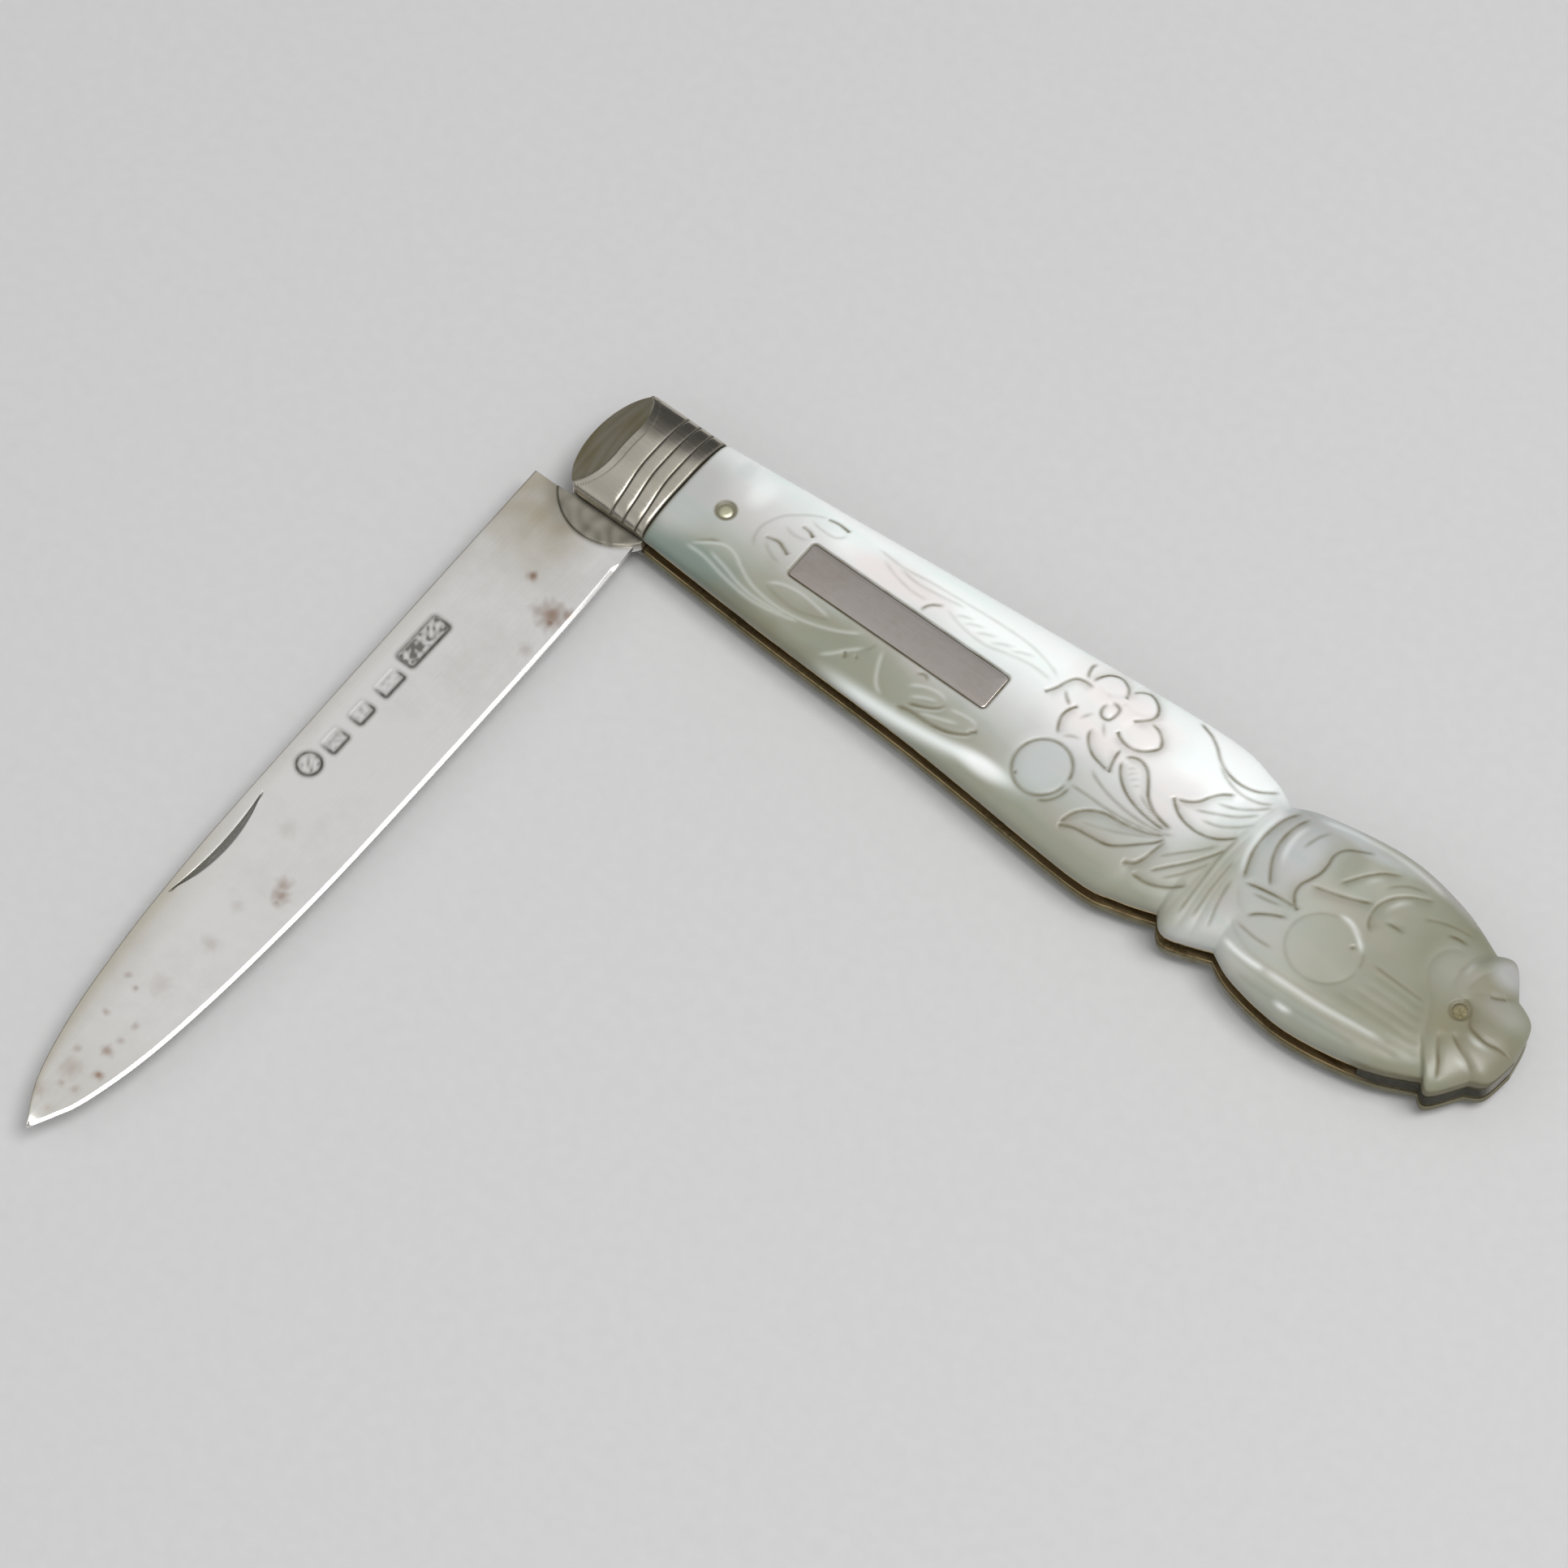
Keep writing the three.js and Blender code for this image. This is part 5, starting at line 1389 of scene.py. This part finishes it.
def blade_leaf(sizes):
    """The leaf and its marks: rows from heel to tip, each a wedge from spine to bevel and to edge.

    The columns follow the nail nick, and the front face is cut by the nick and the seals.
    """
    span = BLADE_LENGTH - TIP_GAP - HEEL_X
    rows = HEEL_X + span * (1 - (1 - np.linspace(0, 1, BLADE_ROWS)) ** ROW_CROWD)
    edge = np.interp(rows, *curve_through(EDGE_LINE, BLADE_STEPS).T)
    spine = np.minimum(np.interp(rows, *curve_through(SPINE_LINE, BLADE_STEPS).T), edge - LEAST_WIDTH)
    keen = smooth(*BEVEL_FROM, rows)
    bevel_width = np.minimum(BEVEL_WIDTH, BEVEL_SHARE * (edge - spine)) * keen
    bevel = edge - np.maximum(bevel_width, BEVEL_LEAST)
    swing = nick_swing(rows)
    face = bevel - spine
    near = np.maximum(NICK_HORN + NICK_BOW * swing, spine + NICK_MARGIN * face)
    far = np.maximum(near + NICK_WIDTH * swing, near + NICK_LEAST * face)
    stretches = [
        (spine, near, SPINE_SHARES),
        (near, far, even_shares(NICK_COLUMNS)),
        (far, bevel, even_shares(FACE_COLUMNS)),
        (bevel, edge, even_shares(BEVEL_COLUMNS)),
    ]
    y = np.concatenate([a[:, None] + (b - a)[:, None] * share for a, b, share in stretches], 1)
    x = np.broadcast_to(rows[:, None], y.shape)
    taper = (1 - (1 - TIP_TAPER) * rows / BLADE_LENGTH)[:, None]
    on_face = (y - spine[:, None]) / face[:, None]
    on_bevel = (y - bevel[:, None]) / (edge - bevel)[:, None]
    at_spine, at_bevel, at_edge = HALF_THICK
    wedge = at_spine + (at_bevel - at_spine) * on_face
    sharp = at_bevel + (at_edge - at_bevel) * on_bevel * keen[:, None]
    rounded = SPINE_ROUND[0] * np.exp(-(y - spine[:, None]) / SPINE_ROUND[1])
    plain = (np.where(on_face > 1, sharp, wedge) - rounded) * taper
    across = (y - near[:, None]) / (far - near)[:, None]
    nick_cut, nick_soil = nick(x, across, sizes.nick_depth / MM)
    seal_cut, seal_soil = seals(x, y, sizes.seal_depth / MM)
    top = np.stack([x, y, plain - np.maximum(nick_cut, seal_cut)], -1)
    nick_start = len(SPINE_SHARES) - 1
    nick_end = nick_start + NICK_COLUMNS
    face_end = nick_end + FACE_COLUMNS
    shown = np.r_[0:BACK_FIRST, nick_start, nick_end:face_end:BACK_STEP, face_end, face_end + BEVEL_COLUMNS]
    bottom = np.stack([x[:, shown], y[:, shown], -plain[:, shown]], -1)
    # Soil of the nick and seals, with the painted shadow along the tang's arc.
    soil_and_shade = np.maximum(np.maximum(nick_soil, seal_soil), tang_shadow(x, y))
    marks = {"tarnish": spots(x, y), "soil_and_shade": soil_and_shade, "toning": blade_toning(x, y, on_face)}
    return closed_slab(at_rest(top), at_rest(bottom)), marks


def tang_front():
    """The tang's front half and its marks: rows from the split to the arc's end, between flats and arc."""
    centre_x, centre_y, radius = TANG_ARC
    last = centre_x + radius
    near = np.append(np.linspace(TANG_SPLIT, HEEL_X - TANG_CLOSE, TANG_ROWS), HEEL_X)
    rows = np.concatenate([near, last - (last - HEEL_X) * (1 - ARC_ROWS) ** 2])
    arc = np.sqrt(np.maximum(radius**2 - (rows - centre_x) ** 2, 0))
    low = np.where(rows < HEEL_X, -TANG_HALF, centre_y - arc)
    high = np.minimum((TANG_HALF + rows * math.sin(TANG_TILT)) / math.cos(TANG_TILT), centre_y + arc)
    y = strip_columns(low, high, TANG_COLUMNS)
    x = np.broadcast_to(rows[:, None], y.shape)
    from_arc = radius - np.hypot(x - centre_x, y - centre_y)
    inset = np.minimum(np.minimum(y - low[:, None], high[:, None] - y), from_arc)
    z = TANG_THICK / 2 - TANG_EASE[0] * (1 - smooth(0, TANG_EASE[1], inset))
    strength, place, squared_width = TANG_RIM
    rim = strength * np.exp(-((inset - place) ** 2) / squared_width)
    soil_and_shade = np.maximum(patchy(x, y, *TANG_SOIL), rim)
    shape = closed_slab(at_rest(np.stack([x, y, z], -1)), at_rest(np.stack([x, y, -z], -1)))
    return shape, {"soil_and_shade": soil_and_shade, "toning": np.full_like(soil_and_shade, TANG_TONING)}


def tang_ring():
    """The tang behind the split: from the pivot's hole out to the flats, with eased edges.

    In each direction it reaches to the nearest flat, or to a corner's circle where that cuts the flats off.
    """
    flat = TANG_HALF - TANG_CORNER
    closed = flat * (1 - math.sin(TANG_TILT)) / math.cos(TANG_TILT)
    turn = np.linspace(0, 2 * math.pi, RING_SIDES, endpoint=False)
    along, up = np.cos(turn), np.sin(turn)
    reach = np.full_like(turn, np.inf)
    walls = [
        (1, 0, TANG_SPLIT),
        (-1, 0, TANG_HALF),
        (0, -1, TANG_HALF),
        (-math.sin(TANG_TILT), math.cos(TANG_TILT), TANG_HALF),
    ]
    for normal_x, normal_y, distance in walls:
        toward = normal_x * along + normal_y * up
        reach = np.minimum(reach, np.where(toward > TINY, distance / np.maximum(toward, TINY), np.inf))
    for corner_y in (closed, -flat):
        middle = -flat * along + corner_y * up
        beside = -flat * up - corner_y * along
        round_off = middle + np.sqrt(np.maximum(TANG_CORNER**2 - beside**2, 0))
        at_corner = (reach * along < -flat) & (reach * up * np.sign(corner_y) > abs(corner_y))
        reach = np.where(at_corner, round_off, reach)
    half, eased = TANG_THICK / 2, TANG_THICK / 2 - RING_EASE
    hole = np.full_like(reach, PIVOT_HOLE)
    radii = np.stack([hole, reach - RING_EASE, reach, reach, reach - RING_EASE, hole], 1)
    z = np.broadcast_to([-half, -half, -eased, eased, half, half], radii.shape)
    points = np.stack([radii * along[:, None], radii * up[:, None], z], -1)
    return at_rest(points).reshape(-1, 3), wrapped_faces(*radii.shape, True), []


class KNIFE_OT_blade(bpy.types.Operator):
    """Forge the blade and its tang"""

    bl_idname = "knife.blade"
    bl_label = "Blade"

    def execute(self, context):
        material = metal(context.scene.knife_colours, "Blade silver")
        leaf, marks = blade_leaf(context.scene.knife_sizes)
        put(make_piece("blade_leaf", leaf, material, CREASE["leaf"], **marks), "blade", "silver", "blade")
        panel, marks = tang_front()
        put(make_piece("blade_tang", panel, material, CREASE["tang"], **marks), "blade", "silver")
        put(make_piece("blade_ring", tang_ring(), material, CREASE["tang"]), "blade", "silver")
        return {"FINISHED"}


def plate_shape(top):
    """The name plate: its rounded rectangle drawn in by each inset of the profile, at that inset's height."""
    turn = np.linspace(0, 0.5 * math.pi, CORNER_STEPS)
    corner = np.stack([np.cos(turn), np.sin(turn)], 1)
    signs = np.array([(1, 1), (-1, 1), (-1, -1), (1, -1)])
    spun = np.stack([corner, corner[:, ::-1] * (-1, 1), -corner, corner[:, ::-1] * (1, -1)])
    loops = []
    for inset, rise in PLATE_PROFILE:
        radius = max(PLATE_CORNER - inset, CORNER_LEAST)
        half = np.array(PLATE_HALF) - inset - radius
        outline = (signs[:, None] * half + spun * radius).reshape(-1, 2) + PLATE_CENTRE
        loops.append(np.column_stack([outline, np.full(len(outline), top + rise)]))
    return capped(np.stack(loops, 1))


class KNIFE_OT_plate(bpy.types.Operator):
    """Let the bare name plate into the front scale"""

    bl_idname = "knife.plate"
    bl_label = "Name plate"

    def execute(self, context):
        material = metal(context.scene.knife_colours, "Plate silver")
        shape = plate_shape(FRONT_HIGH - context.scene.knife_sizes.plate_sink / MM)
        put(make_piece("plate", shape, material, CREASE["plate"]), "handle", "silver", "name_plate")
        return {"FINISHED"}


class KNIFE_OT_pins(bpy.types.Operator):
    """Turn the rivets and the pivot pin"""

    bl_idname = "knife.pins"
    bl_label = "Pins"

    def execute(self, context):
        pale, old = (metal(context.scene.knife_colours, name) for name in ("Rivet silver", "Old rivet"))
        sink = context.scene.knife_sizes.rivet_sink / MM
        slot_low, slot_high = heights("back_liner")[1], heights("front_liner")[0]
        back_head = [(radius, BACK_LOW + sink + drop) for radius, drop in PIN_HEAD]
        front_head = [(radius, FRONT_HIGH - sink - drop) for radius, drop in reversed(PIN_HEAD)]
        front_foot = [(0.0, slot_high), (PIN_RADIUS, slot_high)]
        back_foot = [(PIN_RADIUS, slot_low), (0.0, slot_low)]
        rivets = [
            ("rivet_tail", "tail_pin", old, TAIL_PIN, back_head + front_head),
            ("rivet_back", "back_scale_pin", pale, SCALE_PIN, back_head + back_foot),
            ("rivet_front", "front_scale_pin", pale, SCALE_PIN, front_foot + front_head),
        ]
        for name, node, material, centre, profile in rivets:
            put(make_piece(name, turned(profile, centre), material, CREASE["pin"]), "handle", "liner", node)
        low, high = BACK_LOW + PIVOT_SINK, FRONT_HIGH - PIVOT_SINK
        narrow = PIVOT_RADIUS - PIVOT_CHAMFER
        ends = [(narrow, low), (PIVOT_RADIUS, low + PIVOT_CHAMFER)]
        rod = turned([*ends, (PIVOT_RADIUS, high - PIVOT_CHAMFER), (narrow, high)], (0.0, 0.0))
        put(make_piece("pivot_rod", rod, pale, CREASE["pin"]), "handle", "silver", "pivot_pin")
        return {"FINISHED"}


class KNIFE_OT_frame(bpy.types.Operator):
    """Finish the liners, the back spring and its pin, which keep their solid shapes"""

    bl_idname = "knife.frame"
    bl_label = "Liners and spring"

    def execute(self, context):
        colours = context.scene.knife_colours
        # Painted shade on the liners under the bolster's end and at the tail, and on the spring towards -y.
        gilt = metal(colours, "Liner brass", LINER_SHADE)
        steel = metal(colours, "Spring steel", SPRING_SHADE)
        looks = {"front_liner": gilt, "back_liner": gilt, "back_spring": steel, "spring_pin": steel}
        for node, material in looks.items():
            mesh = frame["nodes"][node].data
            mesh.materials.clear()
            mesh.materials.append(material)
        return {"FINISHED"}


class KNIFE_OT_stage(bpy.types.Operator):
    """Set the floor, the soft light and the camera"""

    bl_idname = "knife.stage"
    bl_label = "Stage"

    def execute(self, context):
        scene = context.scene
        scene.view_settings.view_transform = "Standard"
        self.floor(scene)
        self.sky(scene)
        for name, place, size, power in LAMPS:
            lamp = bpy.data.lights.new(name, "AREA")
            lamp.shape = "DISK"
            lamp.size = size
            lamp.energy = power
            self.aim(scene, bpy.data.objects.new(name, lamp), place, LAMP_TARGET)
        camera = bpy.data.cameras.new("camera")
        camera.lens = CAMERA_LENS
        camera.sensor_width = CAMERA_SENSOR
        camera.clip_start = CAMERA_CLIP
        holder = bpy.data.objects.new("camera", camera)
        self.aim(scene, holder, CAMERA_PLACE, CAMERA_TARGET)
        scene.camera = holder
        return {"FINISHED"}

    def aim(self, scene, holder, place, target):
        """Puts a lamp or camera in place, looking at a target."""
        holder.location = place
        holder.rotation_euler = (Vector(target) - Vector(place)).to_track_quat("-Z", "Y").to_euler()
        scene.collection.objects.link(holder)

    def floor(self, scene):
        """A wide flat floor just under the knife."""
        material, tree, shader = new_material("Floor paper")
        grain = noise(tree, object_place(tree), *FLOOR_GRAIN)[0]
        colour = scene.knife_colours.floor
        tone = ramp(tree, grain, [(share, [c * level for c in colour]) for share, level in FLOOR_LEVELS])
        tree.links.new(tone, shader.inputs["Base Color"])
        shader.inputs["Roughness"].default_value = FLOOR_ROUGH
        mesh = bpy.data.meshes.new("floor")
        corners = [(-1, -1), (1, -1), (1, 1), (-1, 1)]
        points = [(x * FLOOR_REACH, y * FLOOR_REACH, FLOOR_Z) for x, y in corners]
        mesh.from_pydata(points, [], [(0, 1, 2, 3)])
        mesh.materials.append(material)
        ground = bpy.data.objects.new("floor", mesh)
        scene.collection.objects.link(ground)

    def sky(self, scene):
        """A soft room: bright overhead and to the viewer, dim beyond the knife, with a pale wall."""
        world = bpy.data.worlds.new("room")
        world.use_nodes = True
        scene.world = world
        tree = world.node_tree
        place = add(tree, "ShaderNodeTexCoord").outputs["Generated"]
        bright = vector_math(tree, "DOT_PRODUCT", place, SKY_AXIS)
        tone = ramp(tree, bright, [(share, (level, level, level)) for share, level in SKY_LEVELS])
        low, high, level = SKY_WALL
        wall = map_range(tree, vector_math(tree, "DOT_PRODUCT", place, WALL_AXIS), low, high, level, 0.0)
        tree.links.new(blend(tree, 1.0, tone, wall, "LIGHTEN"), tree.nodes["Background"].inputs["Color"])


class KNIFE_PT_panel(bpy.types.Panel):
    """Lists the knife's sizes, colours and pieces"""

    bl_label = "Fruit knife"
    bl_idname = "KNIFE_PT_panel"
    bl_space_type = "VIEW_3D"
    bl_region_type = "UI"
    bl_category = "Knife"

    def draw(self, context):
        for group in (context.scene.knife_sizes, context.scene.knife_colours):
            for key in group.__annotations__:
                self.layout.prop(group, key)
        for piece in PIECES:
            self.layout.operator(piece.bl_idname)


PIECES = (
    KNIFE_OT_scales,
    KNIFE_OT_bolsters,
    KNIFE_OT_blade,
    KNIFE_OT_plate,
    KNIFE_OT_pins,
    KNIFE_OT_frame,
    KNIFE_OT_stage,
)
CLASSES = (KnifeSizes, KnifeColours, *PIECES, KNIFE_PT_panel)


def register():
    for cls in CLASSES:
        bpy.utils.register_class(cls)
    bpy.types.Scene.knife_sizes = bpy.props.PointerProperty(type=KnifeSizes)
    bpy.types.Scene.knife_colours = bpy.props.PointerProperty(type=KnifeColours)


def unregister():
    del bpy.types.Scene.knife_colours
    del bpy.types.Scene.knife_sizes
    for cls in reversed(CLASSES):
        bpy.utils.unregister_class(cls)


def main():
    """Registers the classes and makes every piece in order."""
    register()
    tarnish_group()
    brushing_group()
    bpy.ops.knife.stage()
    bpy.ops.knife.scales()
    bpy.ops.knife.bolsters()
    bpy.ops.knife.blade()
    bpy.ops.knife.plate()
    bpy.ops.knife.pins()
    bpy.ops.knife.frame()


if __name__ == "__main__":
    main()
